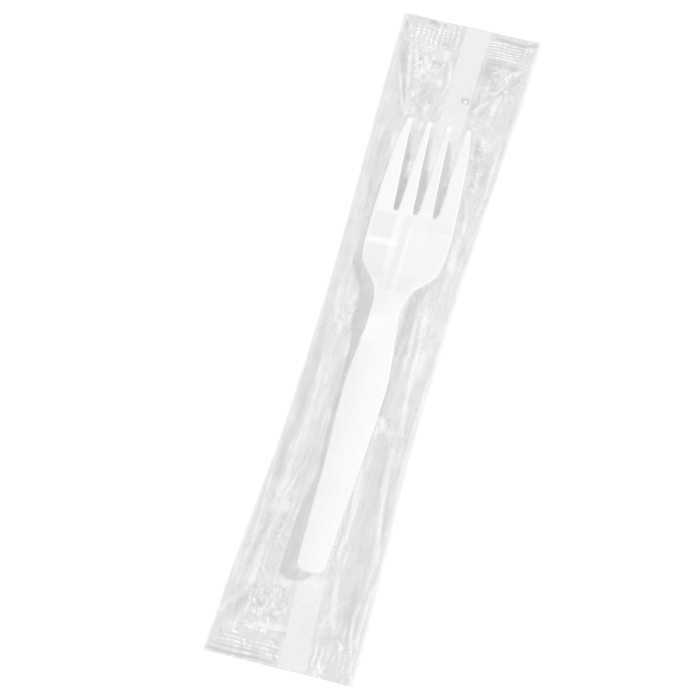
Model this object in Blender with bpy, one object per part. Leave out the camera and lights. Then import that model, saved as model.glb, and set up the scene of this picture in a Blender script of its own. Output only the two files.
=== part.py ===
# Plastic table fork sealed in a clear film sleeve: a film tube with a seam folded flat
# along its back and a ribbed heat seal across each end, and the fork lying loose in it.
# Metres, +Z up. X runs across the sleeve, +Y towards the tine end, and Z is 0 on the table.
# The origin is the middle of the sleeve's flat back.

import math

import bpy

# Fork, from tine tips to handle end
FORK_LENGTH = 0.15186
TINES = 4
TINE_LENGTH = 0.02965
TINE_PITCH = 0.00597
TIP_WIDTH = 0.00140
SLOT_ROOT_WIDTH = 0.00135
HEAD_WIDTH = 0.02496
HEAD_LENGTH = 0.0474        # tips to the shoulder, where the head starts to narrow
SHOULDER_LENGTH = 0.0165    # shoulder to the narrowest part of the neck
NECK_WIDTH = 0.0086
HANDLE_WIDTH = 0.0123
HANDLE_BULGE = 0.0245       # neck to the widest part of the handle
HANDLE_MIDDLE_WIDTH = 0.0100  # halfway from the widest part to the end
HANDLE_END_WIDTH = 0.0080
HANDLE_END_RADIUS = 0.0029
EDGE_ROUND = 0.0003
NUB_OUT = 0.0004            # moulding gate left on the handle's left edge
NUB_LENGTH = 0.0012
NUB_FROM_NECK = 0.0098

# How the fork widens from its tips to its head: (share of the tines' length, share of
# the widening), and how it narrows to its neck: (share of the shoulder, share left)
TINE_OUTLINE = ((0.28, 0.510), (0.59, 0.735), (1.0, 0.955))
SHOULDER_OUTLINE = ((0.0, 0.895), (0.30, 0.550), (0.48, 0.270), (0.66, 0.115))
SLOT_TAPER = 0.85           # under 1, a slot stays wide for longer towards its root

# Fork thickness
TIP_THICKNESS = 0.0009
HEAD_THICKNESS = 0.0013
RIM_DEPTH = 0.0018          # rim that runs round the underside of the handle
RIM_WIDTH = 0.0011
RIM_SLOPE = 0.0006
WEB_THICKNESS = 0.0011      # wall between the rims

# Fork side view: heights of the underside above its lowest point
TIP_RISE = 0.0062
ROOT_RISE = 0.0012
NECK_RISE = 0.0044
HANDLE_END_RISE = 0.0044
HANDLE_LOW = 0.0360         # handle end to the point where the handle leaves the sleeve
BOWL_DISH = 0.0007          # edges of the head above its middle
HANDLE_CROWN = 0.0004       # middle of the handle above its edges

# How the underside comes down from each high place: (share of the run, share of the rise left)
TINE_BEND = (0.35, 0.75)    # over the tines, from the tips
NECK_BEND = (0.45, 0.30)    # over the handle's bulge, from the neck
END_BEND = (0.60, 0.55)     # over the handle's raised end, from where it leaves the sleeve
HEAD_BEND = (0.40, 0.50)    # over the shoulder, up towards the neck

# Fork in the sleeve
ROOM_AT_TIPS = 0.0406       # tine tips to the sleeve's end
ROOM_AT_HANDLE = 0.02804    # handle end to the sleeve's end
ROOM_BESIDE_HEAD = 0.00892  # side of the head to the side of the sleeve's ends
ROOM_AT_WAIST = 0.00612     # side of the head to the side of the sleeve's waist
FORK_OFFSET = 0.0001        # tips' middle to the right of the sleeve's middle
FORK_LEAN = math.radians(0.55)
CLEARANCE = 0.0003

# Sleeve
WAIST_FROM_TINE_END = 0.1110
WAIST_FROM_HANDLE_END = 0.0860
FILM = 0.00005
END_MARGIN = 0.0025         # plain film outside each ribbed seal
SEAL_DEPTH = 0.0068
SEAL_STEP = 0.0012          # welded film between the ribs and the hollow
RIB_PITCH = 0.00156
RIB_HEIGHT = 0.0004
RIB_RAMP = 0.0008           # length over which a rib rises at its ends
SEAM_WIDTH = 0.0075         # both film edges, joined face to face and folded flat
SEAM_OFFSET = 0.0024        # seam's middle to the right of the sleeve's middle
SEAM_DRIFT = 0.0016         # how far the seam wanders to the right by the handle end
SEAM_DRIFT_LENGTH = 0.0300
SEAM_ROOT = 0.0008
SEAM_GAP = 0.00003
SEAM_RAMP = 0.0012
SEAM_STEP = 0.00012         # back film's step up at the seam's free edge
EDGE_PUFF = 0.0006          # height of the soft fold along each side
EDGE_REACH = 0.0010         # the soft fold leaves the table this far from the side
VENT_DIAMETER = 0.0013
VENT_SIDES = 12
VENT_FROM_TINE_END = 0.0268
VENT_OFFSET = 0.0046

# Front film over the fork
FLAT_PUFF = 0.0008          # height of the front film where nothing lifts it
EDGE_SLACK = 0.0030         # width at each side over which the film lifts off
FILM_STANDOFF = 0.0006      # front film above the fork
FILM_REACH = 0.0014         # front film stays up this far past the fork's outline
TENT_RUN = 1.05             # length of the film's slope down from the fork, per height
TENT_HOLLOW = 1.6           # over 1, the slope is hollow
BOWL_BRIDGE = 0.0016        # film above the head, where it spans from tips to neck
DIP_BRIDGE = 0.0008         # film above the lowest part of the handle

# Long soft folds of the front film: (from and to as shares of the length from the tine
# end, from and to as shares of the half width, height, half width of the fold)
FOLDS = (
    (0.075, 0.175, -0.86, -0.50, 0.0009, 0.0016),
    (0.110, 0.160, 0.72, 0.42, 0.0010, 0.0018),
    (0.240, 0.640, 0.90, 0.86, 0.0009, 0.0017),
    (0.430, 0.760, 0.72, 0.70, 0.0010, 0.0017),
    (0.640, 0.950, 0.66, 0.84, 0.0010, 0.0017),
    (0.500, 0.740, -0.68, -0.70, 0.0010, 0.0018),
    (0.680, 0.930, -0.66, -0.68, 0.0010, 0.0017),
    (0.760, 0.960, -0.86, -0.93, 0.0008, 0.0014),
    (0.870, 0.950, 0.42, 0.62, 0.0009, 0.0016),
)
FOLD_FADE = 0.6             # under 1, a fold keeps its height nearer to its ends
FOLD_ON_FORK = 0.25         # share of a fold's height that is left on top of the fork
GATHER_PITCH = 0.0052       # small pleats that run in from each seal
GATHER_HEIGHT = 0.0005
GATHER_LENGTH = 0.0140
GATHER_START = 0.0035       # length over which a pleat rises from its seal

# Fineness of the mesh
FRONT_COLUMNS = 20
SLEEVE_ROWS = 52
HEAD_ROWS = 11
HANDLE_ROWS = 26
TIP_STEPS = (0.0, 0.35, 1.0)
TIP_FLAT = 0.4              # width left at the very tip of a tine, as a share
SHANK_STEPS = (0.13, 0.27, 0.42, 0.56, 0.70, 0.84)
END_STEPS = (0.35, 0.65, 1.0)
SLOT_ROOT_STEPS = (-0.7, 0.0, 0.7)
HANDLE_START = 0.0015       # last row of the head to the first of the handle
LEAST_STEP = 0.00015        # rows of the handle closer than this are one row
LEAST_COLUMNS = (0.4, 0.3, 0.2, 0.1)
LEAST_RIB = 0.6             # outermost rib line to the sleeve's side, in half pitches
SIDE_WALL = 2.0 * FILM      # film at the fold along each side, measured level

SLEEVE_LENGTH = ROOM_AT_TIPS + FORK_LENGTH + ROOM_AT_HANDLE
END_WIDTH = HEAD_WIDTH + 2.0 * ROOM_BESIDE_HEAD
WAIST_WIDTH = HEAD_WIDTH + 2.0 * ROOM_AT_WAIST


def clear_scene():
    for thing in list(bpy.data.objects):
        bpy.data.objects.remove(thing, do_unlink=True)


def plastic(name, colour, roughness, alpha=1.0):
    material = bpy.data.materials.new(name)
    material.use_nodes = True
    shader = material.node_tree.nodes["Principled BSDF"]
    shader.inputs["Base Color"].default_value = (*colour, 1.0)
    shader.inputs["Roughness"].default_value = roughness
    shader.inputs["Metallic"].default_value = 0.0
    shader.inputs["Alpha"].default_value = alpha
    return material


def make_object(name, points, faces, material):
    mesh = bpy.data.meshes.new(name)
    mesh.from_pydata(points, [], faces)
    mesh.validate()
    mesh.materials.append(material)
    made = bpy.data.objects.new(name, mesh)
    bpy.context.scene.collection.objects.link(made)
    mesh.shade_smooth()
    mesh.set_sharp_from_angle(angle=math.radians(35))
    return made


def ease(share):
    share = min(1.0, max(0.0, share))
    return share * share * (3.0 - 2.0 * share)


def curve_through(stations):
    """A smooth function through (position, value) stations, with no overshoot."""
    count = len(stations)
    steps = [stations[i + 1][0] - stations[i][0] for i in range(count - 1)]
    slopes = [(stations[i + 1][1] - stations[i][1]) / steps[i] for i in range(count - 1)]
    tangents = [slopes[0]]
    for i in range(1, count - 1):
        level = slopes[i - 1] * slopes[i] <= 0.0
        tangents.append(0.0 if level else 2.0 / (1.0 / slopes[i - 1] + 1.0 / slopes[i]))
    tangents.append(slopes[-1])

    def value(at):
        at = min(stations[-1][0], max(stations[0][0], at))
        i = 0
        while i < count - 2 and at > stations[i + 1][0]:
            i += 1
        share = (at - stations[i][0]) / steps[i]
        square = share * share
        cube = square * share
        return (
            (2.0 * cube - 3.0 * square + 1.0) * stations[i][1]
            + (cube - 2.0 * square + share) * steps[i] * tangents[i]
            + (3.0 * square - 2.0 * cube) * stations[i + 1][1]
            + (cube - square) * steps[i] * tangents[i + 1]
        )

    return value


def strip_between(low, high):
    """Triangles that fill the strip between two rows of (index, position) points."""
    faces = []
    i = 0
    j = 0
    while i < len(low) - 1 or j < len(high) - 1:
        step_low = j == len(high) - 1
        if not step_low and i < len(low) - 1:
            step_low = low[i + 1][1] + low[i][1] <= high[j + 1][1] + high[j][1]
        if step_low:
            faces.append((low[i][0], low[i + 1][0], high[j][0]))
            i += 1
        else:
            faces.append((low[i][0], high[j + 1][0], high[j][0]))
            j += 1
    return faces


# Fork: outline and heights, with s from the tips along the fork and x across it

NECK = HEAD_LENGTH + SHOULDER_LENGTH
CREST = NECK + 0.05 * HANDLE_BULGE    # highest part of the handle
BULGE = NECK + HANDLE_BULGE
LOW_POINT = FORK_LENGTH - HANDLE_LOW
BOWL = (TINE_LENGTH + HEAD_LENGTH) / 2.0
HEAD_END = HEAD_LENGTH + 0.75 * SHOULDER_LENGTH
NUB = NECK + NUB_FROM_NECK
TIP_ROUND = TIP_WIDTH / 2.0

TIPS_HALF = (TINES - 1) / 2.0 * TINE_PITCH + TIP_WIDTH / 2.0
HEAD_HALF = HEAD_WIDTH / 2.0
NECK_HALF = NECK_WIDTH / 2.0

outer_half = curve_through((
    (0.0, TIPS_HALF),
    *((at * TINE_LENGTH, TIPS_HALF + share * (HEAD_HALF - TIPS_HALF)) for at, share in TINE_OUTLINE),
    (BOWL, HEAD_HALF),
    *((HEAD_LENGTH + at * SHOULDER_LENGTH, NECK_HALF + share * (HEAD_HALF - NECK_HALF))
      for at, share in SHOULDER_OUTLINE),
    (NECK, NECK_HALF),
    (BULGE, HANDLE_WIDTH / 2.0),
    ((BULGE + FORK_LENGTH) / 2.0, HANDLE_MIDDLE_WIDTH / 2.0),
    (FORK_LENGTH, HANDLE_END_WIDTH / 2.0),
))

underside = curve_through((
    (0.0, TIP_RISE),
    (TINE_BEND[0] * TINE_LENGTH, ROOT_RISE + TINE_BEND[1] * (TIP_RISE - ROOT_RISE)),
    (TINE_LENGTH, ROOT_RISE),
    (BOWL, 0.0),
    (HEAD_LENGTH + HEAD_BEND[0] * SHOULDER_LENGTH, HEAD_BEND[1] * NECK_RISE),
    (CREST, NECK_RISE),
    (NECK + NECK_BEND[0] * HANDLE_BULGE, NECK_BEND[1] * NECK_RISE),
    (BULGE, 0.0),
    (LOW_POINT, 0.0),
    (FORK_LENGTH - END_BEND[0] * HANDLE_LOW, END_BEND[1] * HANDLE_END_RISE),
    (FORK_LENGTH, HANDLE_END_RISE),
))

edge_thickness = curve_through((
    (0.0, TIP_THICKNESS),
    (TINE_LENGTH, HEAD_THICKNESS),
    (HEAD_LENGTH, HEAD_THICKNESS),
    (NECK, RIM_DEPTH),
    (FORK_LENGTH, RIM_DEPTH),
))

camber = curve_through((
    (0.0, 0.2 * BOWL_DISH),
    (TINE_LENGTH, 0.9 * BOWL_DISH),
    (BOWL, BOWL_DISH),
    (NECK, -0.5 * HANDLE_CROWN),
    (BULGE, -HANDLE_CROWN),
    (FORK_LENGTH, -HANDLE_CROWN),
))


def half_width(s):
    half = outer_half(s)
    past = s - (FORK_LENGTH - HANDLE_END_RADIUS)
    if past > 0.0:
        half += math.sqrt(max(0.0, HANDLE_END_RADIUS ** 2 - past ** 2)) - HANDLE_END_RADIUS
    return half


def slot_centre(slot):
    return (slot - (TINES - 2) / 2.0) * TINE_PITCH


def slot_half_width(s):
    widest = TINE_PITCH - TIP_WIDTH
    share = (1.0 - min(1.0, s / TINE_LENGTH)) ** SLOT_TAPER
    return (SLOT_ROOT_WIDTH + share * (widest - SLOT_ROOT_WIDTH)) / 2.0


def top_height(s, x):
    across = x / outer_half(s)
    return underside(s) + edge_thickness(s) + camber(s) * across * across


def bottom_height(s, x):
    from_edge = min(half_width(s) - abs(x), FORK_LENGTH - s)
    hollow = ease((from_edge - RIM_WIDTH) / RIM_SLOPE) * ease((s - HEAD_LENGTH) / SHOULDER_LENGTH)
    deep = edge_thickness(s)
    return top_height(s, x) - deep + hollow * max(0.0, deep - WEB_THICKNESS)


def tine_columns(tine, s):
    """Five places across one tine, at the length s."""
    slot = slot_half_width(s)
    left = -half_width(s) if tine == 0 else slot_centre(tine - 1) + slot
    right = half_width(s) if tine == TINES - 1 else slot_centre(tine) - slot
    middle = (left + right) / 2.0
    half = (right - left) / 2.0
    if s < TIP_ROUND:
        short = 1.0 - s / TIP_ROUND
        half *= max(TIP_FLAT, math.sqrt(1.0 - short * short))
    inner = half - EDGE_ROUND
    return [middle - half, middle - inner, middle, middle + inner, middle + half]


def head_columns():
    """Places across the head at the slots' roots: (x, how far the root is drawn back)."""
    columns = []
    root = SLOT_ROOT_WIDTH / 2.0
    for tine in range(TINES):
        columns.extend((place, root) for place in tine_columns(tine, TINE_LENGTH))
        if tine < TINES - 1:
            for share in SLOT_ROOT_STEPS:
                back = root * (1.0 - math.sqrt(1.0 - share * share))
                columns.append((slot_centre(tine) + share * root, back))
    return columns


def fork_plan():
    """Flat layout of the fork: points as (s, x), and cells as rows of point numbers."""
    points = []
    cells = []

    def add_row(places):
        first = len(points)
        points.extend(places)
        return list(range(first, len(points)))

    def join_rows(near, far):
        for i in range(len(near) - 1):
            cells.append((near[i], near[i + 1], far[i + 1], far[i]))

    columns = head_columns()
    root_row = add_row([(TINE_LENGTH - back, x) for x, back in columns])
    tine_steps = [TIP_ROUND * share for share in TIP_STEPS]
    tine_steps += [TINE_LENGTH * share for share in SHANK_STEPS]
    for tine in range(TINES):
        rows = [add_row([(s, x) for x in tine_columns(tine, s)]) for s in tine_steps]
        start = tine * (len(rows[0]) + len(SLOT_ROOT_STEPS))
        rows.append(root_row[start:start + len(rows[0])])
        for near, far in zip(rows, rows[1:]):
            join_rows(near, far)

    reference = half_width(TINE_LENGTH)
    previous = root_row
    head_start = TINE_LENGTH + EDGE_ROUND
    for step in range(HEAD_ROWS):
        s = head_start + (HEAD_END - head_start) * step / (HEAD_ROWS - 1)
        row = add_row([(s, x / reference * half_width(s)) for x, _ in columns])
        join_rows(previous, row)
        previous = row

    for s in handle_stations():
        half = half_width(s)
        row = add_row([(s, x) for x in handle_columns(half)])
        if len(row) == len(previous):
            join_rows(previous, row)
        else:
            low = [(i, points[i][1] / half_width(points[i][0])) for i in previous]
            high = [(i, points[i][1] / half) for i in row]
            cells.extend(strip_between(low, high))
        previous = row
        if s == NUB:
            points[row[0]] = (s, points[row[0]][1] - NUB_OUT)
    return points, cells


def handle_stations():
    """Lengths of the rows along the handle, with the nub's own rows kept."""
    first = HEAD_END + HANDLE_START
    last = FORK_LENGTH - HANDLE_END_RADIUS
    backs = [0.0, EDGE_ROUND, RIM_WIDTH, RIM_WIDTH + RIM_SLOPE]
    backs += [HANDLE_END_RADIUS * share for share in END_STEPS]
    stations = [FORK_LENGTH - back for back in backs]
    stations += [first + (last - first) * i / HANDLE_ROWS for i in range(HANDLE_ROWS)]
    nub = [NUB - NUB_LENGTH / 2.0, NUB, NUB + NUB_LENGTH / 2.0]
    stations = [s for s in stations if min(abs(s - kept) for kept in nub) > LEAST_STEP]
    spaced = []
    for s in sorted(stations + nub):
        if not spaced or s - spaced[-1] > LEAST_STEP:
            spaced.append(s)
    return spaced


def handle_columns(half):
    """Places across the handle: its round edge, its rim, the slope inside it and the web."""
    steps = [half, half - EDGE_ROUND, half - RIM_WIDTH, half - RIM_WIDTH - RIM_SLOPE]
    # Where the end rounds off, the columns close up but keep their order
    steps = [max(step, half * least) for step, least in zip(steps, LEAST_COLUMNS)]
    steps.append(steps[-1] / 2.0)
    return [-step for step in steps] + [0.0] + steps[::-1]


def open_edges(cells):
    """Edges that only one cell uses, in that cell's own direction."""
    directed = set()
    for cell in cells:
        for i, start in enumerate(cell):
            directed.add((start, cell[(i + 1) % len(cell)]))
    return [(a, b) for a, b in directed if (b, a) not in directed]


def make_fork(material):
    plan, cells = fork_plan()
    edges = sorted(open_edges(cells))
    rim = {i for edge in edges for i in edge}
    tops = []
    bottoms = []
    for i, (s, x) in enumerate(plan):
        inset = EDGE_ROUND if i in rim else 0.0
        tops.append(top_height(s, x) - inset)
        bottoms.append(bottom_height(s, x) + inset)
    lift = FILM + seam_height() + CLEARANCE - min(bottoms)
    count = len(plan)
    points = [(x, -s, z + lift) for (s, x), z in zip(plan, tops)]
    points += [(x, -s, z + lift) for (s, x), z in zip(plan, bottoms)]
    # Plan cells run with y backwards, so their own order faces down
    faces = [tuple(reversed(cell)) for cell in cells]
    faces += [tuple(i + count for i in cell) for cell in cells]
    faces += [(a, b, b + count, a + count) for a, b in edges]
    fork = make_object("fork", points, faces, material)
    fork.location = (FORK_OFFSET, SLEEVE_LENGTH / 2.0 - ROOM_AT_TIPS, 0.0)
    fork.rotation_euler = (0.0, 0.0, FORK_LEAN)
    return lift


# Sleeve: its outline, and the height of its front film over the fork


def seam_height():
    """Height of the folded seam under the back film."""
    return 2.0 * FILM + SEAM_GAP


def sleeve_half_width(y):
    from_tines = SLEEVE_LENGTH / 2.0 - y
    from_handle = SLEEVE_LENGTH / 2.0 + y
    narrowing = min(ease(from_tines / WAIST_FROM_TINE_END), ease(from_handle / WAIST_FROM_HANDLE_END))
    return (END_WIDTH - narrowing * (END_WIDTH - WAIST_WIDTH)) / 2.0


def film_spine(lift):
    """Height of the front film along the middle of the fork."""

    def over_fork(s):
        return lift + underside(s) + edge_thickness(s) + max(0.0, camber(s)) + FILM_STANDOFF

    bridge = curve_through((
        (0.0, over_fork(0.0)),
        (BOWL, over_fork(BOWL) + BOWL_BRIDGE),
        (CREST, over_fork(CREST)),
        (LOW_POINT, over_fork(LOW_POINT) + DIP_BRIDGE),
        (FORK_LENGTH, over_fork(FORK_LENGTH)),
    ))
    return lambda s: max(over_fork(s), bridge(s))


def fold_height(x, y):
    """Height that the long soft folds add to the front film."""
    along = 0.5 - y / SLEEVE_LENGTH
    half = sleeve_half_width(y)
    total = 0.0
    for start, end, side_start, side_end, height, reach in FOLDS:
        share = (along - start) / (end - start)
        if 0.0 < share < 1.0:
            centre = (side_start + share * (side_end - side_start)) * half
            fade = math.sin(math.pi * share) ** FOLD_FADE
            away = (x - centre) / reach
            total += height * fade * math.exp(-away * away)
    return total


def gather_height(x, y):
    """Height of the small pleats that fan in from the seals."""
    from_seal = hollow_end() - abs(y)
    fade = max(0.0, 1.0 - from_seal / GATHER_LENGTH) * ease(from_seal / GATHER_START)
    return GATHER_HEIGHT * fade * (1.0 + math.cos(2.0 * math.pi * x / GATHER_PITCH)) / 2.0


def make_front_height(lift):
    spine = film_spine(lift)
    lean_cos = math.cos(FORK_LEAN)
    lean_sin = math.sin(FORK_LEAN)

    def height(x, y):
        half = sleeve_half_width(y)
        from_tip_x = x - FORK_OFFSET
        from_tip_y = y - (SLEEVE_LENGTH / 2.0 - ROOM_AT_TIPS)
        s = -from_tip_y * lean_cos + from_tip_x * lean_sin
        across = from_tip_x * lean_cos + from_tip_y * lean_sin
        nearest = min(FORK_LENGTH, max(0.0, s))
        aside = max(0.0, abs(across) - outer_half(nearest) - FILM_REACH)
        beyond = max(0.0, abs(s - nearest) - FILM_REACH)
        peak = spine(nearest)
        share = min(1.0, math.hypot(aside, beyond) / (TENT_RUN * peak))
        tent = (1.0 - share) ** TENT_HOLLOW * (peak - FLAT_PUFF)
        slack = ease((half - abs(x)) / EDGE_SLACK)
        flat = EDGE_PUFF + (FLAT_PUFF - EDGE_PUFF) * slack
        loose = fold_height(x, y) + gather_height(x, y)
        loose *= FOLD_ON_FORK + (1.0 - FOLD_ON_FORK) * share
        return flat + (tent + loose) * slack

    return height


# Sleeve mesh: rings of points round the film, outside and inside, and slabs at the seals


def hollow_end():
    return SLEEVE_LENGTH / 2.0 - END_MARGIN - SEAL_DEPTH - SEAL_STEP


def seam_centre(y):
    from_handle_end = SLEEVE_LENGTH / 2.0 + y
    return SEAM_OFFSET + SEAM_DRIFT * ease(1.0 - from_handle_end / SEAM_DRIFT_LENGTH)


def back_profile(y):
    """Underside of the sleeve from left to right as (x, z), round the folded seam."""
    half = sleeve_half_width(y)
    free_edge = seam_centre(y) - SEAM_WIDTH / 2.0
    root_edge = seam_centre(y) + SEAM_WIDTH / 2.0
    slot_end = root_edge - SEAM_ROOT
    up = seam_height()
    return [
        (-half + EDGE_REACH, 0.0),
        ((-half + free_edge) / 2.0, 0.0),
        (free_edge - SEAM_RAMP, 0.0),
        (free_edge - SEAM_STEP, up),
        (slot_end, up),
        (slot_end, 2.0 * FILM),
        (free_edge, 2.0 * FILM),
        (free_edge, 0.0),
        (root_edge, 0.0),
        ((half + root_edge) / 2.0, 0.0),
        (half - EDGE_REACH, 0.0),
    ]


def back_inside(y):
    """Floor of the hollow from left to right as (x, z)."""
    half = sleeve_half_width(y)
    free_edge = seam_centre(y) - SEAM_WIDTH / 2.0
    root_edge = seam_centre(y) + SEAM_WIDTH / 2.0
    up = seam_height()
    return [
        (-half + EDGE_REACH, FILM),
        ((-half + free_edge) / 2.0, FILM),
        (free_edge - SEAM_RAMP, FILM),
        (free_edge - SEAM_STEP, up + FILM),
        (root_edge, up + FILM),
        (root_edge + SEAM_RAMP, FILM),
        ((half + root_edge) / 2.0 + SEAM_RAMP, FILM),
        (half - EDGE_REACH, FILM),
    ]


class Film:
    """Collects the sleeve's points and faces."""

    def __init__(self):
        self.points = []
        self.faces = []

    def row(self, places, y):
        first = len(self.points)
        self.points.extend((x, y, z) for x, z in places)
        return list(range(first, len(self.points)))

    def band(self, near, far, flip):
        """Fill the band between two equal rows with triangles, all cut the same way."""
        for i in range(len(near) - 1):
            cell = (near[i], near[i + 1], far[i + 1], far[i])
            pieces = [(cell[0], cell[1], cell[2]), (cell[0], cell[2], cell[3])]
            self.faces.extend(tuple(reversed(piece)) if flip else piece for piece in pieces)

    def zip(self, near, far, flip):
        low = [(i, self.points[i][0]) for i in near]
        high = [(i, self.points[i][0]) for i in far]
        pieces = strip_between(low, high)
        self.faces.extend(tuple(reversed(piece)) if flip else piece for piece in pieces)


def seal_rib(x, y):
    """Wave of the ribbed seal across the sleeve, 0 to 1, plain over the seam."""
    from_seam = abs(x - seam_centre(y)) - SEAM_WIDTH / 2.0
    fade = ease(from_seam / RIB_PITCH)
    return fade * (0.5 - 0.5 * math.cos(2.0 * math.pi * x / RIB_PITCH))


def seal_rows(film, y, ribbed):
    """Top and bottom rows of the flat seal at y, each with its shared side points."""
    half = sleeve_half_width(y)
    count = int(half / (RIB_PITCH / 2.0) - LEAST_RIB)
    places = [i * RIB_PITCH / 2.0 for i in range(-count, count + 1)]
    thick = 2.0 * FILM
    rise = [ribbed * RIB_HEIGHT * seal_rib(x, y) for x in places]
    left = film.row([(-half, thick / 2.0)], y)
    right = film.row([(half, thick / 2.0)], y)
    top = film.row([(x, thick + up) for x, up in zip(places, rise)], y)
    bottom = film.row([(x, up) for x, up in zip(places, rise)], y)
    return left + top + right, left + bottom + right


def make_sleeve(material, lift):
    front_height = make_front_height(lift)
    film = Film()
    last = hollow_end()
    stations = [-last + 2.0 * last * i / SLEEVE_ROWS for i in range(SLEEVE_ROWS + 1)]
    rings = []
    for y in stations:
        half = sleeve_half_width(y)
        inner = half - SIDE_WALL
        columns = [-half + 2.0 * half * i / FRONT_COLUMNS for i in range(1, FRONT_COLUMNS)]
        heights = [front_height(x, y) for x in columns]
        left = film.row([(-half, EDGE_PUFF / 2.0)], y)
        right = film.row([(half, EDGE_PUFF / 2.0)], y)
        top = film.row(list(zip(columns, heights)), y)
        bottom = film.row(back_profile(y), y)
        left_in = film.row([(-inner, EDGE_PUFF / 2.0)], y)
        right_in = film.row([(inner, EDGE_PUFF / 2.0)], y)
        top_in = film.row([(x, z - FILM) for x, z in zip(columns, heights)], y)
        bottom_in = film.row(back_inside(y), y)
        rings.append((
            left + top + right,
            left + bottom + right,
            left_in + top_in + right_in,
            left_in + bottom_in + right_in,
        ))
    for near, far in zip(rings, rings[1:]):
        film.band(near[0], far[0], False)
        film.band(near[1], far[1], True)
        film.band(near[2], far[2], True)
        film.band(near[3], far[3], False)

    for side, ring in ((-1.0, rings[0]), (1.0, rings[-1])):
        towards_tines = side > 0.0
        # End wall of the hollow, and of the slot beside the folded seam
        film.zip(ring[3], ring[2], not towards_tines)
        under = ring[1]
        slot = (under[4], under[5], under[6], under[7])
        film.faces.append(tuple(reversed(slot)) if towards_tines else slot)
        outline = under[:5] + under[7:]
        inner_y = hollow_end() + SEAL_STEP
        outer_y = inner_y + SEAL_DEPTH
        levels = (
            (inner_y, 0.0),
            (inner_y + RIB_RAMP, 1.0),
            (outer_y - RIB_RAMP, 1.0),
            (outer_y, 0.0),
            (SLEEVE_LENGTH / 2.0, 0.0),
        )
        rows = [seal_rows(film, side * y, ribbed) for y, ribbed in levels]
        film.zip(ring[0], rows[0][0], not towards_tines)
        film.zip(outline, rows[0][1], towards_tines)
        for near, far in zip(rows, rows[1:]):
            film.zip(near[0], far[0], not towards_tines)
            film.zip(near[1], far[1], towards_tines)
        film.zip(rows[-1][1], rows[-1][0], towards_tines)

    sleeve = make_object("film_sleeve", film.points, film.faces, material)
    cut_vent(sleeve, front_height)


def cut_vent(sleeve, front_height):
    """Small round hole through the front film, which lets the air out when it is packed."""
    x = VENT_OFFSET
    y = SLEEVE_LENGTH / 2.0 - VENT_FROM_TINE_END
    top = front_height(x, y)
    back = FILM + seam_height()
    low = back + (top - FILM - back) / 2.0
    tall = top + VENT_DIAMETER - low
    bpy.ops.mesh.primitive_cylinder_add(
        vertices=VENT_SIDES, radius=VENT_DIAMETER / 2.0, depth=tall, location=(x, y, low + tall / 2.0))
    cutter = bpy.context.active_object
    cutter.name = "vent_cutter"
    cutter.hide_render = True
    cutter.display_type = "WIRE"
    cut = sleeve.modifiers.new("vent", "BOOLEAN")
    cut.operation = "DIFFERENCE"
    cut.solver = "EXACT"
    cut.object = cutter


clear_scene()
white_plastic = plastic("white_plastic", (0.90, 0.90, 0.89), 0.35)
clear_film = plastic("clear_film", (0.86, 0.88, 0.89), 0.12, alpha=0.35)
fork_lift = make_fork(white_plastic)
make_sleeve(clear_film, fork_lift)
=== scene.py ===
import math

import bpy
import numpy as np
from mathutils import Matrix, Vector, noise
from mathutils.kdtree import KDTree


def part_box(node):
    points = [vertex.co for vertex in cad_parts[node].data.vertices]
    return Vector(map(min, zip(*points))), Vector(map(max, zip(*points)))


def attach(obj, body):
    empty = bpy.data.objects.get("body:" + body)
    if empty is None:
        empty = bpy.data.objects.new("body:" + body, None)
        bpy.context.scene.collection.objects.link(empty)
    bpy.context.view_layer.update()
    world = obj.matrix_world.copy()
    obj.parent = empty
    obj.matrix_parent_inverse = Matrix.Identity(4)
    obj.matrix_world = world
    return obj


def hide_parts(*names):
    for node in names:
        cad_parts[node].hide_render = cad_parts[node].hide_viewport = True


# Without a seed noise_vector starts from the time of day, and every run has other crumples
noise.seed_set(1)

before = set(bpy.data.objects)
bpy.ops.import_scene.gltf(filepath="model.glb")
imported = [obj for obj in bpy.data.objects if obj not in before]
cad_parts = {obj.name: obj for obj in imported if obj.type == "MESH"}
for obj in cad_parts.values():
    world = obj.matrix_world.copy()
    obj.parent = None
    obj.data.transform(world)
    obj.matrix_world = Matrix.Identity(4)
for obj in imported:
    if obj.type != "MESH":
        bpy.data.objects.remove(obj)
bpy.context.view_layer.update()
sleeveLow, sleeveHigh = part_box("film_sleeve")
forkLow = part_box("fork")[0]
print("Frame loaded")


# Shapes of numbers

def ease(share):
    share = np.clip(share, 0.0, 1.0)
    return share * share * (3.0 - 2.0 * share)


def bump(away):
    # 1 in the middle, 0 from a distance of 1 on
    return ease(1.0 - np.abs(away))


def curveThrough(stations):
    # A smooth curve through (place, value) stations, with no overshoot
    places = np.array([place for place, value in stations])
    values = np.array([value for place, value in stations])
    steps = np.diff(places)
    slopes = np.diff(values) / steps
    tangents = np.empty(len(places))
    tangents[0], tangents[-1] = slopes[0], slopes[-1]
    for i in range(1, len(places) - 1):
        level = slopes[i - 1] * slopes[i] <= 0.0
        tangents[i] = 0.0 if level else 2.0 / (1.0 / slopes[i - 1] + 1.0 / slopes[i])

    def read(at):
        at = np.clip(at, places[0], places[-1])
        i = np.clip(np.searchsorted(places, at, side="right") - 1, 0, len(steps) - 1)
        t = (at - places[i]) / steps[i]
        square, cube = t * t, t * t * t
        return ((2 * cube - 3 * square + 1) * values[i] + (cube - 2 * square + t) * steps[i] * tangents[i]
                + (3 * square - 2 * cube) * values[i + 1] + (cube - square) * steps[i] * tangents[i + 1])

    return read


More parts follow.
